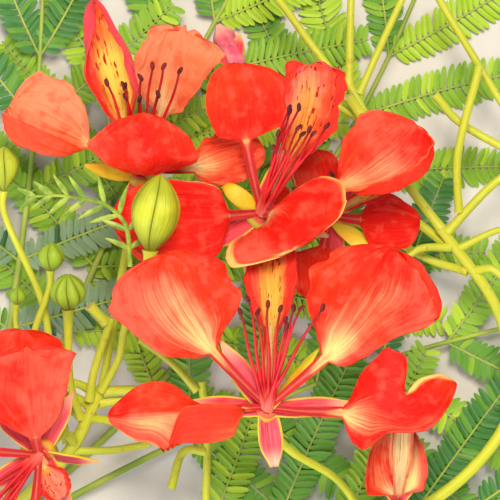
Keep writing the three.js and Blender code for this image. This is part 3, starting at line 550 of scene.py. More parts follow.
def stalk(seed, name, radii, points, root=None, under=None, swell=0.28, skins=None):
    """A stalk as a smooth, slightly knobbly limb, swollen at its foot and cut blunt at its end."""
    stalk_lines[name] = (curve_points(points, FACETS.get(name, 4) + 1), radii)
    shown = [Vector(p) for p in points]
    if root is not None:
        shown = [root] + shown
    if under:
        shown[-1] = shown[-1] + (shown[-1] - shown[-2]).normalized() * (SEAT + 0.8)
    length = sum((b - a).length for a, b in zip(shown, shown[1:]))
    collar_size, collar_length = (0.45, 2.6) if under else (0.14, 1.2)

    def radius_at(share):
        foot = swell * math.exp(-share * length / 2.2)
        collar = collar_size * math.exp(-(1 - share) * length / collar_length)
        rough = 0.05 * wander(share * length / 5, seed * 3.7, 0)
        return along(radii, share) * (1 + foot + collar + rough)

    pile = Pile()
    line = curve_points(shown, max(int(length / STALK_STEP), 8))
    round_tube(pile, line, radius_at, STALK_SIDES, seed, cap_kind=0 if under else 1)
    make_piece(name, "skin", pile, skins or [stalk_skin, scar_skin])


def side_stalk(seed, name, carrier, share, radii, under, *through):
    """A stalk that grows from another one and ends bare or under a bloom or bud."""
    points = [Vector(p) for p in through]
    if under:
        foot, axis = carried[under]
        points += [foot - axis * STALK_END, foot - axis * SEAT]
    start, out, girth = seat_on(carrier, share, points[0], radii[0])
    stalk(seed, name, radii, [start] + points, start - out * (SEAT + girth * 0.7), under)


# Leaves


def leaf_line(start, headings, length, level):
    """A leaf's line from its start: it turns through headings and comes level at a height."""
    points = [Vector(start)]
    for k in range(LINE_STEPS):
        t = (k + 1) / LINE_STEPS
        after = points[k] + toward(along(headings, t - 0.5 / LINE_STEPS), 0) * (length / LINE_STEPS)
        after.z = start.z + (level - start.z) * ease(0, PETIOLE_LENGTH / length, t)
        points.append(after)
    return curve_points(points, RACHIS_STEPS + 1)


# Stations of a leaflet: share of its length, share of its width
OBLONG = ((0, 0.1), (0.1, 0.75), (0.35, 1), (0.7, 0.95), (0.92, 0.6), (1, 0.05))
SLENDER = ((0, 0.15), (0.12, 0.7), (0.3, 1), (0.6, 0.85), (0.85, 0.45), (1, 0.04))


def leaflet(pile, at, heading, pitch, bank, length, width, number, kind, stations=OBLONG):
    """One leaflet: a narrow blade folded a little along its midrib, from a short stalk."""
    ahead = toward(heading, pitch)
    flat_left = level_left(heading)
    b = math.radians(bank)
    left = flat_left * math.cos(b) + ahead.cross(flat_left) * math.sin(b)
    up = ahead.cross(left)
    points = []
    places = []
    for t, share in stations:
        spot = at + ahead * (length * t) - up * (LEAFLET_DROOP * length * t * t)
        half = width / 2 * share
        for v in (1, 0, -1):
            point = spot + left * (half * v) + up * (LEAFLET_FOLD * half * abs(v))
            point.z = max(point.z, LOWEST)
            points.append(point)
            places.append((float(v), t, number))
    pile.add(points, grid_faces(len(stations), 3, 0, False), places, kind=kind)


def leaf(seed, name, start, headings, length, level, greens):
    """A twice-divided leaf: a rachis with pinnae in pairs, each a fine rib with its many leaflets."""
    rng = random.Random(seed)
    line = leaf_line(start, headings, length, level)
    ribs = Pile()
    leaflets = Pile()
    radii = [share * RACHIS_RADIUS for share in (1, 0.93, 0.85, 0.7, 0.55)]
    root = line[0] - (line[1] - line[0]).normalized() * 1.6
    round_tube(
        ribs, [root] + line, lambda t: along(radii, t) * (1 + 0.25 * math.exp(-t * 40)), RACHIS_SIDES, seed)
    pairs = int((length - PETIOLE_LENGTH) / PINNA_SPACING)
    for pair in range(pairs + 1):
        at, step = on_line(line, min((PETIOLE_LENGTH + pair * PINNA_SPACING) / length, 0.995))
        reach = PINNA_LENGTH * along([0.8, 1, 1, 0.92, 0.7], pair / pairs)
        for side in (-1, 1):
            turned = heading_of(step) + side * along(PINNA_ANGLES, pair / pairs)
            pinna(ribs, leaflets, at, turned, reach, rng, rng.choice(greens), seed + pair)
    make_piece(name, "ribs", ribs, [rib_skin])
    make_piece(name, "leaflets", leaflets, leaflet_skins, smooth=False)


def pinna(ribs, leaflets, at, heading, length, rng, green, number):
    """A pinna: a fine rib that bows a little, with leaflets in pairs that shorten to both ends."""
    bow = rng.uniform(-7, 7)
    headings = [heading - bow, heading, heading + bow]
    stops = [k / PINNA_STEPS for k in range(PINNA_STEPS + 1)]
    line = [f[0] for f in spine(at, length, headings, [0.6, 0, -0.6], stops)]
    round_tube(ribs, line, lambda t: along([0.55, 0.42, 0.3], t), PINNA_SIDES, number)
    bank = rng.uniform(-16, 16)
    pairs = int(length * 0.95 / LEAFLET_SPACING)
    for pair in range(pairs):
        t = (pair + 1.2) / (pairs + 1)
        spot, step = on_line(line, t)
        reach = LEAFLET_LENGTH * math.sqrt(math.sin(math.pi * (0.13 + 0.74 * t)))
        for hand in (-1, 1):
            kind = green if rng.random() < 0.85 else max(green - 1, 0)
            leaflet(
                leaflets, spot, heading_of(step) + hand * (LEAFLET_ANGLE + rng.uniform(-5, 5)),
                rng.uniform(-7, 9), bank * hand + rng.uniform(-12, 12), reach * rng.uniform(0.93, 1.04),
                LEAFLET_WIDTH * rng.uniform(0.9, 1.05), number, kind)


# Skins and finishes


def colour(code):
    """An sRGB hex code as the linear colour that a shader takes."""
    parts = [int(code[k:k + 2], 16) / 255 for k in (1, 3, 5)]
    return [p / 12.92 if p <= 0.04045 else ((p + 0.055) / 1.055) ** 2.4 for p in parts] + [1.0]


def add(tree, kind, sockets=(), **settings):
    """A node with its settings, and a link or a value on each socket given in turn or by name."""
    node = tree.nodes.new("ShaderNode" + kind)
    for key, value in settings.items():
        setattr(node, key, value)
    for key, value in sockets.items() if isinstance(sockets, dict) else enumerate(sockets):
        if isinstance(value, bpy.types.NodeSocket):
            tree.links.new(value, node.inputs[key])
        else:
            node.inputs[key].default_value = value
    return next(socket for socket in node.outputs if socket.enabled)


def told(tree, name):
    """The three numbers that the mesh tells at each point under a name."""
    return add(tree, "SeparateXYZ", [add(tree, "Attribute", attribute_name=name)]).node.outputs


def weighted(tree, value, *terms):
    """A value with other values added to it, each times its weight."""
    for other, weight in terms:
        value = add(tree, "Math", [other, weight, value], operation="MULTIPLY_ADD")
    return value


def layered(tree, base, layers):
    """A base colour under layers, each laid on where a value goes from low to high, up to a share."""
    tint = colour(base)
    for value, low, high, most, code in layers:
        share = add(tree, "MapRange", [value, low, high, 0.0, most], interpolation_type="SMOOTHSTEP")
        tint = add(tree, "Mix", {0: share, 6: tint, 7: colour(code)}, data_type="RGBA")
    return tint


def mottles(tree, *blots):
    """Cloudy patterns through the spray, each from the size of its blots in mm and its detail."""
    where = add(tree, "TexCoord").node.outputs["Object"]
    return [add(tree, "TexNoise", {"Vector": where, "Scale": 0.5 / (size * MM), "Detail": detail})
            for size, detail in blots]


def fanned(tree, across, lengthwise, detail):
    """A pattern drawn out along a part, so that it fans from the foot of a blade to its margin."""
    place = add(tree, "Attribute", attribute_name="place")
    [sway] = mottles(tree, (7, 2.0))
    bent = add(tree, "VectorMath", [sway, (0.1, 0.0, 0.0), place], operation="MULTIPLY_ADD")
    drawn = add(tree, "VectorMath", [bent, (across, lengthwise, 1.0)], operation="MULTIPLY")
    return add(tree, "TexNoise", {"Vector": drawn, "Scale": 1.0, "Detail": detail, "Roughness": 0.6})


def new_skin(name, roughness, glow=0.0, glow_mm=1.0, gloss=0.5):
    """A material with its roughness and gloss, and light that sinks into it and glows out again."""
    material = bpy.data.materials.new(name)
    material.use_nodes = True
    sockets = {
        "Roughness": roughness,
        "IOR": 1.42,  # of water-filled plant tissue
        "Specular IOR Level": gloss,
        "Subsurface Weight": glow,
        "Subsurface Radius": (1.0, 0.4, 0.2),
        "Subsurface Scale": glow_mm * MM,
    }
    for socket, value in sockets.items():
        material.node_tree.nodes["Principled BSDF"].inputs[socket].default_value = value
    return material, material.node_tree


def dress(tree, tint, height, depth_mm):
    """The colour and the relief of a skin, put on its shader."""
    shader = tree.nodes["Principled BSDF"]
    if tint is not None:
        tree.links.new(tint, shader.inputs["Base Color"])
    relief = add(tree, "Bump", {"Height": height, "Distance": depth_mm * MM, "Strength": 0.9})
    tree.links.new(relief, shader.inputs["Normal"])


def make_petal_skin(
        name, body, warm, pale, flush, flush_rim, margin, claw, keel, back, vein, flecked=False):
    """Living petal: thin satin skin over fine veins, crinkled like crepe, that lets some light through.

    Its tiny raised cells catch stray light, so the red stays deep where the light falls on it. It gives
    the eye clear red with salmon clouds, and a cream flush that fans out from the claw. Fine salmon
    specks on the raised crinkles are partly the petal's own mottling and partly painted highlights.
    """
    material, tree = new_skin(name, 0.42, 0.15, gloss=0.2)
    side, down, _ = told(tree, "place")
    flush_share, pale_share, rim_share = told(tree, "look")
    under = add(tree, "Attribute", attribute_name="under")
    across = add(tree, "Math", [side], operation="ABSOLUTE")
    bow = add(tree, "Math", [side, 2.0], operation="POWER")
    rays = fanned(tree, 26, 1.8, 4.0)
    folds = fanned(tree, 5, 1.3, 3.0)
    veins = weighted(tree, fanned(tree, 60, 2.4, 2.0), (down, -0.1))
    patch, cloud, crepe = mottles(tree, (22, 2.0), (13, 4.0), (2.6, 4.0))
    # salmon comes with the clouds, more on petals and sides with a high share of it
    paling = weighted(tree, cloud, (rays, 0.14), (pale_share, 0.42))
    # the flush reaches less far beside the middle, and its rays have different lengths
    from_neck = add(tree, "Math", [down], operation="ABSOLUTE")
    reach = add(tree, "Math", [weighted(tree, from_neck, (1.0, 0.05)), flush_share], operation="DIVIDE")
    reach = weighted(tree, reach, (rays, -1.0), (cloud, -1.3), (bow, 1.5), (1.0, 1.05))
    # the margin's pale line is patchy, and wide on a side with a high share of it
    edge = add(tree, "Math", [across, down], operation="MAXIMUM")
    brink = weighted(tree, edge, (rim_share, 0.1), (cloud, 0.14), (rays, 0.15))
    stem = weighted(tree, down, (flush_share, 0.3))
    past_neck = add(tree, "Math", [down, 0.0], operation="MAXIMUM")
    keel_line = weighted(tree, across, (past_neck, 1.5))
    layers = [
        (patch, 0.42, 0.62, 1.0, warm),
        (paling, 0.74, 0.95, 0.9, pale),
        (folds, 0.52, 0.72, 0.35, pale),
        # fine mottles that follow the crinkles: salmon on their tops, partly the petal's own mottling and
        # partly painted highlights, and the plain red in their hollows
        (crepe, 0.48, 0.66, 0.4, pale),
        (crepe, 0.48, 0.34, 0.4, body),
        (reach, 1.2, 0.4, 0.85, flush_rim),
        (reach, 0.78, 0.2, 0.95, flush),
    ]
    if flecked:
        # red sides, and flecks of dark red over the middle
        sides = weighted(tree, across, (folds, 0.9))
        flecks = weighted(tree, fanned(tree, 11, 11, 1.5), (bow, -0.12))
        layers += [(sides, 0.97, 1.27, 1.0, body), (flecks, 0.61, 0.66, 1.0, vein)]
    layers += [
        (veins, 0.54, 0.68, 0.22, vein),
        (brink, 1.17, 1.27, 0.9, margin),
        (stem, 0.08, -0.14, 0.88, claw),
        (keel_line, 0.4, 0.0, 0.6, keel),
        (under, 0.0, 1.0, 0.8, back),
    ]
    dress(tree, layered(tree, body, layers), weighted(tree, crepe, (veins, 0.45), (folds, 0.5)), 1.05)
    return material


petal_skin = make_petal_skin(
    "petal_satin", body="#ec1a0c", warm="#f83612", pale="#fa6048", flush="#ffe08a", flush_rim="#ffa070",
    margin="#ffd274", claw="#e33a40", keel="#f7906e", back="#f0260c", vein="#b80f0a")
bleached_skin = make_petal_skin(
    "petal_bleached_by_sun", body="#f23e22", warm="#f86a34", pale="#fb8c62", flush="#ffd896",
    flush_rim="#ffa86c", margin="#ffb860", claw="#e8504a", keel="#f7a07a", back="#f23a16", vein="#c0301c")
standard_skin = make_petal_skin(
    "standard_petal_satin", body="#ee3424", warm="#f5542a", pale="#ff8a6c", flush="#ffc84e",
    flush_rim="#ffa640", margin="#ffc060", claw="#f9b070", keel="#ffe6b0", back="#ee4a58",
    vein="#b01c12", flecked=True)


def make_sepal_skin():
    """Living sepal: fleshy and glossy. It gives the eye red with a yellow rim inside, gold outside."""
    material, tree = new_skin("sepal_flesh", 0.38, 0.12)
    side, down, _ = told(tree, "place")
    under = add(tree, "Attribute", attribute_name="under")
    across = add(tree, "Math", [side], operation="ABSOLUTE")
    fine = fanned(tree, 14, 2.0, 3.0)
    [blots] = mottles(tree, (6, 3.0))
    tint = layered(tree, "#e42c38", [
        (fine, 0.35, 0.65, 1.0, "#f2606a"),
        (down, 0.6, 1.0, 0.9, "#ffc8a0"),
        (weighted(tree, across, (fine, 0.45)), 1.03, 1.18, 1.0, "#f0c63a"),
        (under, 0.0, 1.0, 1.0, "#f2b81c"),
        (weighted(tree, blots, (under, 1.0)), 1.4, 1.62, 0.8, "#dcd236"),
        (weighted(tree, down, (under, -1.0)), -0.65, -1.0, 0.8, "#b9bd34"),
    ])
    dress(tree, tint, fine, 0.25)
    return material


sepal_skin = make_sepal_skin()


def make_flesh(name, first, second, blot_mm, roughness, relief_mm, tip=None, foot=None):
    """Plain living or dried tissue in two close colours, with its foot or tip another one."""
    material, tree = new_skin(name, roughness)
    _, down, _ = told(tree, "place")
    blots, grit = mottles(tree, (blot_mm, 3.0), (blot_mm * 0.3, 3.0))
    layers = [(blots, 0.36, 0.64, 1.0, second)]
    if foot:
        layers.append((down, 0.22, 0.02, 0.9, foot))
    if tip:
        layers.append((down, 0.7, 1.0, 0.9, tip))
    dress(tree, layered(tree, first, layers), grit, relief_mm)
    return material


# Calyx cup: firm waxy flesh, soft satin, olive at its foot and red at its brim
cup_skin = make_flesh("calyx_cup_flesh", "#c8bd38", "#e0a03a", 4, 0.45, 0.15, tip="#d83a3c", foot="#b8b83a")
# Filament: smooth wet-looking flesh, crimson, darker towards the anther
filament_skin = make_flesh(
    "filament_flesh", "#bc0a18", "#dc2426", 5, 0.4, 0.08, tip="#8e1020", foot="#f0705c")
# Anther: a dry pollen sac, matt and dark maroon
anther_skin = make_flesh("anther_dry_pollen_sac", "#4a0c16", "#7c1c1c", 1.2, 0.7, 0.1)
# Leaf rib: firm green stem tissue, paler than the leaflets
rib_skin = make_flesh("leaf_rib_green", "#8aa63c", "#a9b84a", 8, 0.5, 0.08)
# Wilted petal: limp and crumpled, dull pink
faded_skin = make_flesh("wilted_petal_skin", "#d8506a", "#f28a96", 3.5, 0.6, 0.35, tip="#f6b49c")
# Young leaflet: soft, a little shiny, yellow-green
young_skin = make_flesh("young_leaflet_skin", "#6f9026", "#a9bb48", 2.5, 0.45, 0.08)
# Scar where a bloom has dropped: dry pale cork
scar_skin = make_flesh("stalk_scar_cork", "#e2dc9a", "#c9b46a", 1.5, 0.75, 0.1)
# Fresh cut through the branch: sawn pale wood, matt
cut_wood = make_flesh("branch_cut_wood", "#e6d9ab", "#cbb77c", 2.5, 0.75, 0.08)


def make_bud_skin():
    """Living bud: smooth waxy sepals. It gives the eye lime to yellow, darker at the foot, a dark line in
    each seam, and painted shade in the hollows beside the seams.
    """
    material, tree = new_skin("bud_waxy_sepals", 0.36, 0.1, 1.5)
    seam, down, _ = told(tree, "place")
    green, _, _ = told(tree, "look")
    [blots] = mottles(tree, (8, 3.0))
    fine = fanned(tree, 20, 1.5, 3.0)
    tint = layered(tree, "#a9b31a", [
        (blots, 0.36, 0.64, 1.0, "#ccd034"),
        (fine, 0.5, 0.75, 0.25, "#e3de62"),
        (green, 0.0, 1.0, 0.85, "#93b62c"),
        # darker olive in the wide hollows beside each seam: painted shade
        (seam, 0.5, 0.05, 0.4, "#8f9a18"),
        (down, 0.4, 0.0, 0.75, "#8a9420"),
        (seam, 0.09, 0.0, 0.9, "#666c10"),
    ])
    groove = add(tree, "MapRange", [seam, 0.12, 0.0, 0.0, -1.5], interpolation_type="SMOOTHSTEP")
    dress(tree, tint, weighted(tree, groove, (fine, 1.0)), 0.3)
    return material


bud_skin = make_bud_skin()


def make_rind(name, roughness, grain, blot_mm, pore_mm, relief_mm, base, *lays):
    """Rind of a stalk or branch: a lengthwise grain, soft blots and small corky pores, in that order."""
    material, tree = new_skin(name, roughness)
    fine = fanned(tree, *grain)
    blots, pores = mottles(tree, (blot_mm, 3.0), (pore_mm, 1.0))
    tint = layered(tree, base, [(value, *lay) for value, lay in zip((fine, blots, pores), lays)])
    dress(tree, tint, weighted(tree, fine, (pores, 0.6)), relief_mm)
    return material


# Green flower stalk: firm and lightly waxed, yellow-green with a fine grain
stalk_skin = make_rind(
    "stalk_green_wax", 0.42, (22, 9, 3.0), 10, 1.6, 0.15, "#c2c826",
    (0.36, 0.64, 1.0, "#d0d242"), (0.5, 0.7, 0.4, "#a9b62e"), (0.66, 0.72, 0.5, "#b09a44"))
# Young bark: dull and ridged along the branch, grey-brown and green, with pale pores
bark_skin = make_rind(
    "young_bark", 0.8, (16, 3, 5.0), 8, 1.8, 0.7, "#6a6138",
    (0.35, 0.65, 1.0, "#9a9064"), (0.45, 0.65, 0.6, "#7f8a3e"), (0.62, 0.7, 1.0, "#c4b184"))


def make_leaflet_skin(name, code):
    """Living leaflet in one plain green: thin, a little waxy, veined from its midrib."""
    material, tree = new_skin(name, 0.48, 0.1, 0.6)
    tree.nodes["Principled BSDF"].inputs["Base Color"].default_value = colour(code)
    dress(tree, None, fanned(tree, 3, 16, 1.0), 0.1)
    return material


LEAFLET_GREENS = dict(
    sunlit="#a9cc2c", lime="#84b126", fresh="#5c9426", deep="#3d7a2e", shade="#2c5f2a", grey="#7d9a70")
leaflet_skins = [make_leaflet_skin("leaflet_" + name, code) for name, code in LEAFLET_GREENS.items()]


# The blooms, from the source's own numbers, with some petals fitted closer to the photograph
#
# claw and blade are lengths in millimetres. heading and lift give how a petal runs, at even stations
# from its root to its tip, cup how many degrees each half bends up, and left and right its half-widths
# at even stations of the blade, as many as there are. wedge is how fast the blade may widen past its
# neck. A fold turns what lies past a share of the half-width by its degrees, over a soft share.
# ruffle and wrinkle are heights in millimetres of the margin's waves and the skin's creases, and ragged
# is how uneven the outline is. flush is how far the cream reaches out from the claw, pale how much
# salmon there is, and rim how wide the golden margin is, from rim_from of the blade on. Two numbers
# there are for the left and the right side.
#
# A sepal is its headings, lifts and length, then its roll, width and pointed tip where it has its own.
# Stamens are their lift, headings and lengths.

# The lower bloom, the nearest one, opens straight up
LOWER_BLOOM = dict(
    name="bloom_lower", centre=[6.5, -56.5, 74], facing=[80, 70],
    petals=[dict(  # wing on the upper left, the widest
        claw=31, blade=40, heading=[135, 129, 104], lift=[30, 12, -12], cup=14,
        left=[5, 8, 13, 17.5, 20, 23, 21, 16.5, 8],
        right=[3.5, 8, 18, 21.2, 21.5, 20.5, 18.5, 14, 7],
        flush=[0.7, 0.45], pale=[0.6, 0], ragged=0.1, wrinkle=0.7, wedge=2.2,
    ), dict(  # wing on the upper right, its outer margin folded back
        claw=30, blade=47, heading=[41, 46, 74], lift=[30, 12, -10], cup=14,
        left=[4, 9.5, 18.5, 22.8, 24.5, 23.8, 21.3, 16, 8.5],
        right=[5, 7.7, 10, 11.6, 16.5, 26, 25.5, 19.6, 11.7],
        fold_right=dict(start=[1.1, 1.1, 1.1, 1, 0.8, 0.72, 0.7], soft=0.12,
                        turn=[0, 0, 0, 60, 160, 160, 100]),
        flush=[0.45, 0.8], pale=[0, 0.7], ruffle=1.9, ragged=0.1, wrinkle=1.0, wedge=2.2,
    ), dict(  # lower left, its near half folded over the rest
        claw=9, blade=49, heading=[184, 184, 180], lift=[8, 8, -8], cup=4,
        left=[20, 22.5, 26, 26.5, 22.5, 11, 8.8, 5.3, 2.8],
        right=[1.8, 1.8, 2, 4, 10.5, 12.6, 10.4, 6.3, 3],
        fold_left=dict(start=[0.38, 0.38, 0.38, 0.37, 0.37, 0.45, 1.1, 1.1, 1.1, 1.1, 1.1], soft=0.13,
                       turn=[166, 166]),
        flush=[1.15, 0.1], pale=[1.1, -0.2], wrinkle=0.5, ragged=0.03, rim=[0.9, 0.3], wedge=4.5,
    ), dict(  # lower right, with one tall lobe and a wide golden rim
        claw=27, blade=48, heading=[-8, -5, 0, -4, -14, -12, 30, 56, 50], lift=[12, 8, -6], cup=16,
        left=[2.5, 7, 24, 26.7, 24.8, 14, 11.3, 11.6, 10.8, 7.7, 4],
        right=[3, 7.6, 11.1, 12.4, 4.6, 3.1, 4.6, 4.2, 3.8, 2.9, 1.8],
        flush=[0.25, 0.55], pale=[0.1, 0.5], rim=[2.0, 0.1], rim_from=0.6, wedge=2.4,
    ), dict(  # standard, narrow and rolled, its top bent back
        claw=30, blade=34, heading=[88, 88, 89], lift=[25, 0, -34], cup=30, claw_half=2.6,
        left=[5, 7.5, 9.5, 10.5, 8], right=[5, 7.5, 9, 10, 8],
        flush=0.95, pale=0.5, wrinkle=0.7, ruffle=1.8, ragged=0.14, skin=FLECKED,
    )],
    sepals=[
        ([127, 121], [16, 3], 31, 0, 8.6), ([176, 172], [6, 0], 29), ([2, 8], [4, 0], 31),
        ([54, 46], [24, 14], 32, 115), ([-84, -82], [-6, -22], 22, 0, 9.4, 0.36),
    ],
    stamens=(34, [104, 98, 95, 91, 86, 82, 79, 76, 72, 61], [43, 47, 40, 43, 42, 39, 37, 46, 47, 50]),
)

# The upper bloom, behind it, leans to the upper right
UPPER_BLOOM = dict(
    name="bloom_upper", centre=[4.5, 14, 62], facing=[50, 55],
    petals=[dict(  # smooth wing on the upper left
        claw=28, blade=28, heading=[105, 99, 90], lift=[24, 12, -2], cup=16,
        left=[9, 12, 13, 12, 8], right=[12, 18, 19, 17, 11],
        flush=0.15, pale=0.25, ruffle=0.8, wrinkle=0.2, wedge=3,
    ), dict(  # standard, upright, with wrinkled margins
        claw=26, blade=33, heading=[58, 70, 88], lift=[34, 12, -4], cup=24, claw_half=2.6,
        left=[5, 7.5, 9, 10, 10], right=[6, 11, 13, 14, 13],
        flush=[0.7, 0.6], pale=[0.7, 0.3], wrinkle=1.1, ruffle=2.2, ragged=0.24, skin=FLECKED,
    ), dict(  # wing on the right
        claw=32, blade=36, heading=[14, 26, 52], lift=[30, 12, -8], cup=14,
        left=[6, 13, 17, 16, 10], right=[5, 12, 19, 21, 14],
        fold_right=dict(start=[0.6, 0.6], soft=0.2, turn=[20, 130, 160, 120, 20]),
        flush=[0.35, 0.75], pale=0.6, wrinkle=0.75, ruffle=2, ragged=0.1, rim=[0.5, 0.9], wedge=1.8,
    ), dict(  # lower petal, bent up towards the viewer and then over
        claw=9, blade=25, heading=[5, -62, -64], lift=[67, 62, 25], cup=10,
        left=[13, 19.5, 25.5, 26.5, 25, 22, 14], right=[10, 14, 17, 20, 22.5, 22, 12],
        flush=[0.3, 0.5], pale=[0.3, 0.6], wrinkle=0.3, ruffle=1.4, rim=[1.1, 1.8], wedge=4,
    ), dict(  # lower left, behind the big bud
        claw=12, blade=43, heading=[188, 180, 188], lift=[6, -7, -12], cup=10,
        left=[12, 17, 18, 16, 9], right=[10, 12.6, 13.6, 12, 7],
        flush=0.08, pale=0.2, ruffle=1.6, rim=[0.4, 0.7], wedge=3,
    )],
    sepals=[
        ([138, 144], [30, 6, -66], 21, 165), ([70, 64], [30, 20], 28), ([-14, -20], [-10, -24], 28),
        ([-100, -104], [-20, -30], 26), ([212, 206], [-10, -24], 27),
    ],
    stamens=(46, [73, 69, 74, 53, 58, 82, 66, 61, 77, 64], [51, 52, 48, 50, 44, 31, 43, 47, 40, 45]),
)

# The upper left bloom faces up the picture, so that its near petal hides its heart
LEFT_BLOOM = dict(
    name="bloom_upper_left", centre=[-40, 30, 52], facing=[84, 40],
    petals=[dict(  # near petal, its underside to the viewer
        claw=8, blade=33, heading=[86, 82, 76], lift=[112, 54, -16], cup=-14,
        left=[15, 20, 20, 15, 8], right=[13, 18, 21, 19, 12],
        flush=0.1, pale=0.15, ruffle=0.9, wrinkle=0.3, rim=[0.5, 0.5],
    ), dict(  # wrinkled wing on the left, its lower margin folded
        claw=22, blade=32, heading=[152, 158, 150], lift=[16, 6, -8], cup=12,
        left=[8, 15, 19, 19, 14], right=[7, 13.5, 17, 17.5, 13.5],
        fold_left=dict(start=[0.5, 0.45, 0.5], soft=0.16, turn=[30, 130, 150, 145, 110]),
        flush=0.35, pale=[0.8, 0.9], wrinkle=1.0, ragged=0.12, rim=[0.3, 0.5], wedge=2, skin=BLEACHED,
    ), dict(  # far wall
        claw=22, blade=31, heading=[66, 74, 76], lift=[0, 2, 8], cup=18,
        left=[10, 14, 15.5, 15, 12], right=[7, 9, 12, 15, 14],
        pale=[1.1, 0.7], ruffle=1.8, wrinkle=0.9, ragged=0.2, rim=[0.6, 0.6], wedge=2, skin=BLEACHED,
    ), dict(  # standard, its long top rolled up
        claw=20, blade=45, heading=[110, 106, 98], lift=[20, 8, 4], cup=20, claw_half=2.6,
        left=[5, 8, 11, 12, 9], right=[9, 14, 15, 11, 7],
        fold_left=dict(start=[0.45, 0.3, 0.2], soft=0.6, turn=[0, 0, 60, 190, 230]),
        fold_right=dict(start=[0.5, 0.5, 0.2], soft=0.5, turn=[0, 130, 240, 250, 220]),
        flush=[0.6, 1.1], pale=[0.1, 0.5], wrinkle=0.8, skin=FLECKED,
    ), dict(  # folded petal on the right
        claw=20, blade=27, heading=[-2, 8, 26], lift=[10, 14, 2], cup=30,
        left=[6, 10, 11, 10, 6], right=[5, 8, 9, 8, 5],
        flush=0.6, wrinkle=1.0, ragged=0.12, wedge=2, skin=BLEACHED,
    )],
    sepals=[
        ([176, 166], [26, 16], 22, 160), ([24, 46], [44, 40], 30, 150), ([250, 256], [-10, -20], 24),
        ([120, 116], [-6, -12], 26), ([-34, -30], [-6, -12], 25),
    ],
    stamens=(30, [108, 97, 88, 84, 79, 69, 103, 92, 75, 99], [38, 34, 37, 42, 43, 44, 31, 30, 33, 36]),
)

# The lower left bloom faces down the picture
CORNER_BLOOM = dict(
    name="bloom_lower_left", centre=[-77, -75, 62], facing=[225, 50],
    petals=[dict(  # broad wing that stands up the picture
        claw=10, blade=33, heading=[98, 96, 94], lift=[50, 16, -4], cup=10,
        left=[11, 19, 21, 18, 11], right=[5, 10, 13, 16, 18],
        flush=0.1, pale=[0.8, 1.0], ruffle=1.8, ragged=0.12,
    ), dict(  # second wing behind it
        claw=17, blade=30, heading=[108, 100, 84], lift=[14, -2, -8], cup=10,
        left=[10, 17, 19, 16, 9], right=[8, 12, 13, 14, 14],
        flush=0.2, pale=[0.7, 0.3], ruffle=1.6, ragged=0.1,
    ), dict(  # wing on the outer left
        claw=26, blade=34, heading=[172, 178, 160], lift=[24, 10, -8], cup=12,
        left=[10, 18, 21, 19, 12], right=[8, 16, 19, 17, 10],
        flush=0.35, ruffle=1.8,
    ), dict(  # wing on the outer lower side
        claw=27, blade=35, heading=[268, 262, 276], lift=[20, 8, -8], cup=12,
        left=[9, 17, 20, 18, 11], right=[8, 16, 19, 17, 11],
        flush=0.35, ruffle=1.8,
    ), dict(  # standard, small, crumpled beside the heart
        claw=5, blade=13, heading=[-70, -60, -50], lift=[14, 2, -8], cup=34, claw_half=2.4,
        left=[5, 7, 8, 6, 4], right=[4, 5, 6, 5, 4],
        flush=0.4, pale=1.1, wrinkle=1.0, ruffle=1.8, ragged=0.2, skin=FLECKED,
    )],
    sepals=[
        ([-12, -8], [0, -8], 21, 62), ([66, 60], [-6, -16], 25), ([140, 144], [-10, -16], 26),
        ([214, 210], [2, -10], 28), ([-66, -62], [-8, -18], 25),
    ],
    stamens=(30, [222, 228, 234, 240, 217, 231, 245, 226, 237, 212],
             [42, 46, 40, 44, 38, 41, 39, 47, 43, 36]),
)

# A bloom half hidden behind the upper one
FAR_BLOOM = dict(
    name="bloom_behind", centre=[29, 13, 43], facing=[170, 62],
    petals=[dict(  # broad wing that shows on the right
        claw=12, blade=22, heading=[-12, -2, -4], lift=[12, 6, -6], cup=10,
        left=[8, 10.5, 10, 7, 4], right=[8, 10.5, 11, 10, 7],
        flush=0.1, pale=0.2, wrinkle=0.5, wedge=2,
    ), dict(  # standard, rolled, streaked
        claw=14, blade=14, heading=[26, 30, 36], lift=[36, 16, 0], cup=44, claw_half=2.4,
        left=[3, 4, 5, 4, 3], right=[3, 4, 5, 4, 3],
        flush=1.4, pale=1.0, ragged=0.12, skin=FLECKED,
    ), dict(  # hidden wing, up the picture
        claw=10, blade=15, heading=[108, 104, 100], lift=[0, -8, -14], cup=12,
        left=[7, 9, 9, 8, 5], right=[7, 9, 9, 8, 5],
        flush=0.1, pale=0.2, rim=[0.8, 0.8], wedge=2,
    ), dict(  # hidden wing on the left
        claw=10, blade=14, heading=[186, 184, 178], lift=[-4, -8, -6], cup=12,
        left=[8, 11, 12, 10, 6], right=[8, 11, 12, 10, 6],
        flush=0.1, wedge=2,
    ), dict(  # hidden wing, down the picture
        claw=12, blade=20, heading=[262, 258, 250], lift=[0, -4, -8], cup=12,
        left=[8, 11, 12, 10, 6], right=[8, 11, 12, 10, 6],
        flush=0.1, wedge=2,
    )],
    sepals=[
        ([-46, -30], [16, 6], 26, 150), ([62, 60], [-6, -12], 23), ([134, 138], [-8, -12], 23),
        ([216, 214], [-8, -12], 23), ([-84, -86], [-8, -12], 23),
    ],
    stamens=(40, [200, 150, 90], [20, 18, 20]),
)

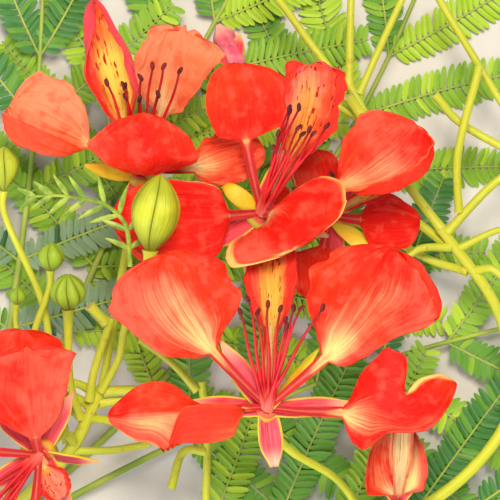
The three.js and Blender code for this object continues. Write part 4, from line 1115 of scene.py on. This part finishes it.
# A bloom that has only half opened, low on the right
OPENING_BLOOM = dict(
    name="bloom_half_open", centre=[54.5, -91, 50], facing=[88, 60],
    petals=[dict(  # left petal, half over the others
        claw=3, blade=25, heading=[128, 106, 66], lift=[20, 24, 14], cup=26,
        left=[9, 9.5, 7, 4, 2], right=[6, 8, 8, 6, 3],
        flush=[0.6, 0.2], pale=[0.5, 0.3], wrinkle=0.8, wedge=1.3, skin=BLEACHED,
    ), dict(  # right petal, pale on its inner side
        claw=3, blade=28, heading=[66, 84, 104], lift=[22, 26, 14], cup=30,
        left=[5, 6, 5, 3.5, 2], right=[7.5, 8, 6.5, 4, 2],
        flush=[0.1, 1.4], pale=[0.1, 0.9], wrinkle=0.8, wedge=1.3,
    ), dict(  # standard, rolled shut between them
        claw=10, blade=27, heading=[88, 88, 88], lift=[36, 34, 8], cup=40, claw_half=2.4,
        left=[3, 4.5, 5, 4.5, 4], right=[3, 4.5, 5, 4.5, 4],
        flush=2.6, pale=1.2, wrinkle=1.2, ruffle=2, skin=BLEACHED,
    )],
    sepals=[
        ([124, 98], [20, 6], 25, 0, 6), ([54, 80], [20, 6], 25, 0, 6), ([88, 88], [-12, -2], 25),
    ],
)

BLOOMS = [LOWER_BLOOM, UPPER_BLOOM, LEFT_BLOOM, CORNER_BLOOM, FAR_BLOOM, OPENING_BLOOM]
# Buds: name, foot, heading, lift, length, radius, and what is its own
BUDS = [
    ("bud_large", [-36, -1, 76], 82, 12, 29, 8.8, dict(turned=0.5, twist=-0.27, green=0.1)),
    ("bud_left", [-91, 21, 44], 88, 10, 17.5, 5.6, dict(green=0.4, pear=1.45)),
    ("bud_small", [-73.5, -8, 48], 86, 20, 11.5, 5, dict(turned=0.2, twist=0.5, green=1.0)),
    ("bud_ribbed", [-67, -22, 47], 88, 30, 15, 6.4,
     dict(ribs=7, rib_depth=0.2, twist=0.5, turned=0.4, green=0.8)),
    ("bud_tiny", [-86.5, -20.5, 40], 84, 20, 7, 3.3, dict(green=1.0)),
]

# What carries what: each stalk has radii from foot to end and points that it passes through, and a
# side stalk starts at a share of its carrier's length

# Stations of the faceted lines that other stalks sit on, where they are not 4
FACETS = dict(raceme_left=6, raceme_right=14, stalk_bud_small=5, bare_left_8=3)

BRANCH_TIP = Vector((-93, -105, 7))
BRANCH_THROUGH = [[-117, -131, 7.2], [-105, -118, 7.4], BRANCH_TIP]

# Main flower stalks: name, radii, points
RACEMES = [
    ("raceme_left", [2.5, 2.6, 2.4, 2], [-94, -102, 9.9], [-81, -90, 20], [-66, -73, 30], [-55, -51, 35]),
    ("raceme_right", [2.4, 2.4, 2.3, 2.2, 2], [-89.7, -105.3, 9.7], [-60, -104, 19], [0, -108, 21],
     [62, -98, 23], [97, -62, 26], [93, -24, 30], [71, 8, 34]),
]

# Stalks under something: name, carrier, share, radii, what it carries, points
SIDE_STALKS = [
    ("raceme_middle", "raceme_right", 0.28, [1.7, 1.5, 1.4], None, [-16, -98, 27], [-16, -72, 31],
     [-18, -49, 34]),
    ("raceme_right_end", "raceme_right", 0.99, [1.7, 1.6, 1.5], None, [90, 24, 34], [107, 36, 33]),
    ("raceme_top", "raceme_right", 0.985, [1.8, 1.7, 1.6], None, [52, 34, 33], [37, 62, 32]),
    ("stalk_lower_bloom", "raceme_right", 0.48, [1.4, 1.5, 1.7], "bloom_lower", [33, -86, 34],
     [14, -73, 50]),
    ("stalk_upper_bloom", "raceme_right", 0.955, [1.7, 1.6, 1.7], "bloom_upper", [60, 12, 28], [38, 24, 25],
     [12, 20, 26], [0, 9, 35]),
    ("stalk_behind", "raceme_right", 0.925, [1.6, 1.5, 1.7], "bloom_behind", [68, -4, 27], [48, 7, 27]),
    ("stalk_upper_left", "raceme_left", 1, [1.6, 1.5, 1.7], "bloom_upper_left", [-51, -28, 34],
     [-46, 0, 36]),
    ("stalk_lower_left", "raceme_left", 0.66, [1.6, 1.6, 1.7], "bloom_lower_left", [-68, -68, 41]),
    ("stalk_half_open", "raceme_right", 0.6, [1.5, 1.5, 1.7], "bloom_half_open", [55.5, -106, 31.5]),
    ("stalk_bud_large", "raceme_left", 0.9, [1.5, 1.5, 2.1], "bud_large", [-48.5, -40, 45], [-46, -29, 54],
     [-42, -16, 66]),
    ("stalk_bud_left", "raceme_left", 0.6, [1.5, 1.4, 1.3, 1.2], "bud_left", [-73.5, -42, 36],
     [-77, -20, 38]),
    ("stalk_bud_small", "raceme_left", 0.5, [1.4, 1.3, 1.2], "bud_small", [-80, -50, 38], [-80, -32, 44]),
    ("stalk_bud_ribbed", "raceme_left", 0.76, [1.5, 1.4, 1.8], "bud_ribbed", [-66.5, -50, 39]),
    ("stalk_bud_tiny", "stalk_bud_small", 0.36, [1, 0.9, 0.9], "bud_tiny", [-84, -40, 37]),
]

# Bare stalks that have dropped their blooms: name, carrier, share, radii, points
BARE_STALKS = [
    ("bare_left_1", "raceme_left", 0.975, [1.8, 1.7], [-43, -52, 38], [-31, -53, 38]),
    ("bare_left_2", "raceme_left", 0.9, [1.7, 1.5], [-47, -56, 33], [-35, -58, 32]),
    ("bare_left_3", "raceme_left", 0.82, [1.6, 1.4], [-52, -64, 29], [-41, -68, 28]),
    ("bare_left_4", "raceme_left", 0.6, [1.5, 1.4], [-52, -75, 27], [-37.5, -72.5, 27]),
    ("bare_left_5", "raceme_left", 0.955, [1.7, 1.5], [-64, -50, 32], [-70, -49, 31]),
    ("bare_left_6", "raceme_left", 0.87, [1.6, 1.4], [-65, -55, 29], [-71, -54, 28]),
    ("bare_left_7", "raceme_left", 0.79, [1.6, 1.4], [-67, -60, 27], [-72, -59, 26]),
    ("bare_left_8", "raceme_left", 0.8, [1.6, 1.5], [-58, -46, 41], [-51, -25, 46]),
    ("bare_left_9", "bare_left_8", 0.9, [1.8, 1.9], [-59, -20.5, 49]),
    ("bare_middle_1", "raceme_middle", 0.9, [1.5, 1.4], [-29, -42, 37], [-41, -33, 39]),
    ("bare_middle_2", "raceme_middle", 0.55, [1.5, 1.6], [-24.5, -75, 31], [-29.5, -89, 30]),
    ("bare_right_1", "raceme_right", 0.965, [1.4, 1.2], [93, 7.5, 33], [102, 7, 32]),
    ("bare_right_2", "raceme_right", 0.97, [1.5, 1.4], [62, 0, 37], [50, -12, 38]),
    ("bare_right_3", "raceme_right", 0.93, [1.5, 1.4], [90, -7, 35], [102, -18, 33]),
    ("bare_right_4", "raceme_right_end", 0.12, [1.5, 1.6], [77, 34, 38], [85, 68, 40]),
    ("bare_right_5", "raceme_right_end", 0.9, [1.5, 1.6], [78, 48, 29], [69, 58, 30]),
    ("bare_right_6", "raceme_right_end", 0.97, [1.5, 1.4], [93, 57, 28], [73, 90, 28], [69, 97, 28]),
    ("bare_top_1", "raceme_top", 0.86, [1.5, 1.4], [25, 74, 29], [11, 93, 31], [6, 99, 32]),
    ("bare_top_2", "raceme_top", 1, [1.5, 1.4], [37.5, 88, 33], [38, 99, 33]),
    ("bare_top_3", "raceme_top", 0.9, [1.4, 1.3], [58, 96, 32], [60, 99, 32]),
    ("bare_top_4", "raceme_top", 0.6, [2, 2.1], [36.5, 57, 38]),
]

# Put the pieces together

for seed, spec in enumerate(BLOOMS):
    carried[spec["name"]] = bloom(10 * seed + 3, **spec)
for seed, (name, *shape, own) in enumerate(BUDS):
    carried[name] = bud(seed + 0.5, name, *shape, **own)


def faded_bloom(foot, axis):
    """A wilted bloom: petals rolled to a crumpled bundle, with two limp sepals."""
    line = [foot + axis * (20 * k / BUNDLE_STEPS) for k in range(BUNDLE_STEPS + 1)]
    bundle = Pile()
    round_tube(
        bundle, line, lambda t: along([1.6, 3.9, 3.3, 4.1, 0.9], t), BUNDLE_SIDES, 4,
        ripple=lambda t, turn: 1 + 0.13 * math.sin(5 * turn + 4 * t) + 0.1 * wander(
            2 * math.cos(turn), 2 * math.sin(turn), 5 * t))
    make_piece("bloom_faded", "bundle", bundle, [faded_skin])
    sepals = Pile()
    for number, heading in enumerate(([160, 150], [80, 90])):
        sepal(sepals, foot + axis * 4, number + 0.3, heading, [30, 10], 13 - number, width=5)
    make_piece("bloom_faded", "sepals", sepals, [sepal_skin])
    return foot, axis


carried["bloom_faded"] = faded_bloom(Vector((-3.5, 66, 36)), toward(116, 14))

stalk(1, "branch", [6.6, 6, 5.4], BRANCH_THROUGH, swell=0.04, skins=[bark_skin, cut_wood])
for seed, (name, radii, *through) in enumerate(RACEMES):
    first = Vector(through[0])
    stalk(seed + 2, name, radii, through, root=first.lerp(first * 2 - Vector(through[1]), 0.35))
for seed, row in enumerate(SIDE_STALKS):
    side_stalk(seed + 5, *row)
for seed, (name, carrier, share, radii, *through) in enumerate(BARE_STALKS):
    side_stalk(seed + 30, name, carrier, share, radii, None, *through)
side_stalk(
    60, "stalk_faded_bloom", "raceme_top", 0.74, [1.5, 1.4, 1.6], "bloom_faded", [15, 62, 31], [4, 60, 32])

# Leaves lie under the blooms, each on its own level

LEAF_HEADING = toward(47.5, 0)
LEAF_ACROSS = toward(137.5, 0)


def on_tip(side, height):
    """A place on the branch's end for a leaf to start."""
    at = BRANCH_TIP + LEAF_HEADING + LEAF_ACROSS * side
    at.z = height
    return at


def on_bark(share, heading):
    """A place on the branch's side for a leaf with a heading to start."""
    goal = on_stalk("branch", share)[0] + toward(heading, 4) * 30
    return seat_on("branch", share, goal, RACHIS_RADIUS * 0.8)[0]


# Name, start, headings, length, height of its level, and the greens that its pinnae draw from
LEAVES = [
    ("leaf_far", on_tip(0, 4.2), [40, 52, 68], 268, 1.5, [0, 0, 1, 1, 2]),
    ("leaf_upper", on_tip(3.3, 4.9), [72, 66, 60], 232, 4.5, [0, 1, 1, 2]),
    ("leaf_right", on_tip(-3.3, 4.9), [30, 22, 12], 222, 7.5, [1, 2, 2, 3, 5]),
    ("leaf_left", on_bark(0.55, 82), [82, 82, 88], 204, 10.5, [1, 2, 3, 3, 5]),
    ("leaf_lower", on_bark(0.6, 4), [4, 4, 14], 198, 10.5, [1, 2, 2, 3]),
]
for seed, row in enumerate(LEAVES):
    leaf(71 + seed, *row)


def young_leaf():
    """The young leaf beside the large bud: one rachis with small narrow leaflets."""
    line = curve_points([[-43.4, -6, 70], [-43.8, 3, 71], [-45, 9, 70], [-49, 14, 68.5], [-54, 17, 67],
                         [-61, 18.6, 65], [-70, 19.8, 62], [-80.5, 19.4, 58]], YOUNG_STEPS + 1)
    pile = Pile()
    round_tube(pile, line, lambda t: along([0.95, 0.8, 0.65, 0.35], t), YOUNG_SIDES, 2)
    rng = random.Random(5)
    pairs = 8
    for pair in range(pairs):
        t = 0.12 + 0.84 * pair / (pairs - 1)
        k = min(int(t * YOUNG_STEPS), YOUNG_STEPS - 1)
        heading = heading_of(line[k + 1] - line[k])
        for side in (-1, 1):
            angle = along([60, 54, 44, 26], t) + rng.uniform(-5, 5)
            leaflet(
                pile, line[k], heading + side * angle, rng.uniform(-6, 14), side * 25,
                11.2 * along([0.8, 1, 0.95, 0.7], t), 2.3, pair, 0, SLENDER)
    make_piece("leaf_young", "blade", pile, [young_skin], smooth=False)


young_leaf()

# Floor, light and camera

FLOOR_HALF = 2.2
FLOOR_HEIGHT = -0.0006
CAMERA_HEIGHT = 1.275
LENS = 240
SENSOR = 36


def make_studio_paper():
    """Matt uncoated background paper, even, with soft fibre mottling."""
    material, tree = new_skin("studio_paper", 0.85)
    [mottle] = mottles(tree, (60, 2.0))
    dress(tree, layered(tree, "#dcd9d2", [(mottle, 0.3, 0.7, 0.15, "#cfccc5")]), mottle, 0.05)
    return material


floor_mesh = bpy.data.meshes.new("studio_floor")
corners = [(x * FLOOR_HALF, y * FLOOR_HALF, FLOOR_HEIGHT) for x, y in ((-1, -1), (1, -1), (1, 1), (-1, 1))]
floor_mesh.from_pydata(corners, [], [(0, 1, 2, 3)])
floor = bpy.data.objects.new("studio_floor", floor_mesh)
floor_mesh.materials.append(make_studio_paper())
bpy.context.scene.collection.objects.link(floor)


def area_light(name, place, aim, size, watts, code):
    """A soft box that looks at a place."""
    data = bpy.data.lights.new(name, "AREA")
    data.size = size
    data.energy = watts
    data.color = colour(code)[:3]
    light = bpy.data.objects.new(name, data)
    light.location = place
    light.rotation_euler = (Vector(aim) - Vector(place)).to_track_quat("-Z", "Y").to_euler()
    bpy.context.scene.collection.objects.link(light)


area_light("key_softbox", (0.08, 0.42, 1.28), (0, 0, 0.03), 0.42, 17, "#fff3e0")
area_light("fill_softbox", (-0.5, -0.85, 0.8), (-0.05, -0.03, 0.03), 0.9, 12, "#f2f4ff")

world = bpy.data.worlds.new("studio_air")
bpy.context.scene.world = world
world.use_nodes = True
world.node_tree.nodes["Background"].inputs["Color"].default_value = colour("#eef2f6")
world.node_tree.nodes["Background"].inputs["Strength"].default_value = 0.45

camera_data = bpy.data.cameras.new("camera")
camera_data.lens = LENS
camera_data.sensor_width = SENSOR
camera_data.clip_start = 0.05
camera_data.clip_end = 20
camera = bpy.data.objects.new("camera", camera_data)
camera.location = (FOOTPRINT_SHIFT.x * MM, FOOTPRINT_SHIFT.y * MM, CAMERA_HEIGHT)
bpy.context.scene.collection.objects.link(camera)
bpy.context.scene.camera = camera
bpy.context.scene.view_settings.view_transform = "Standard"
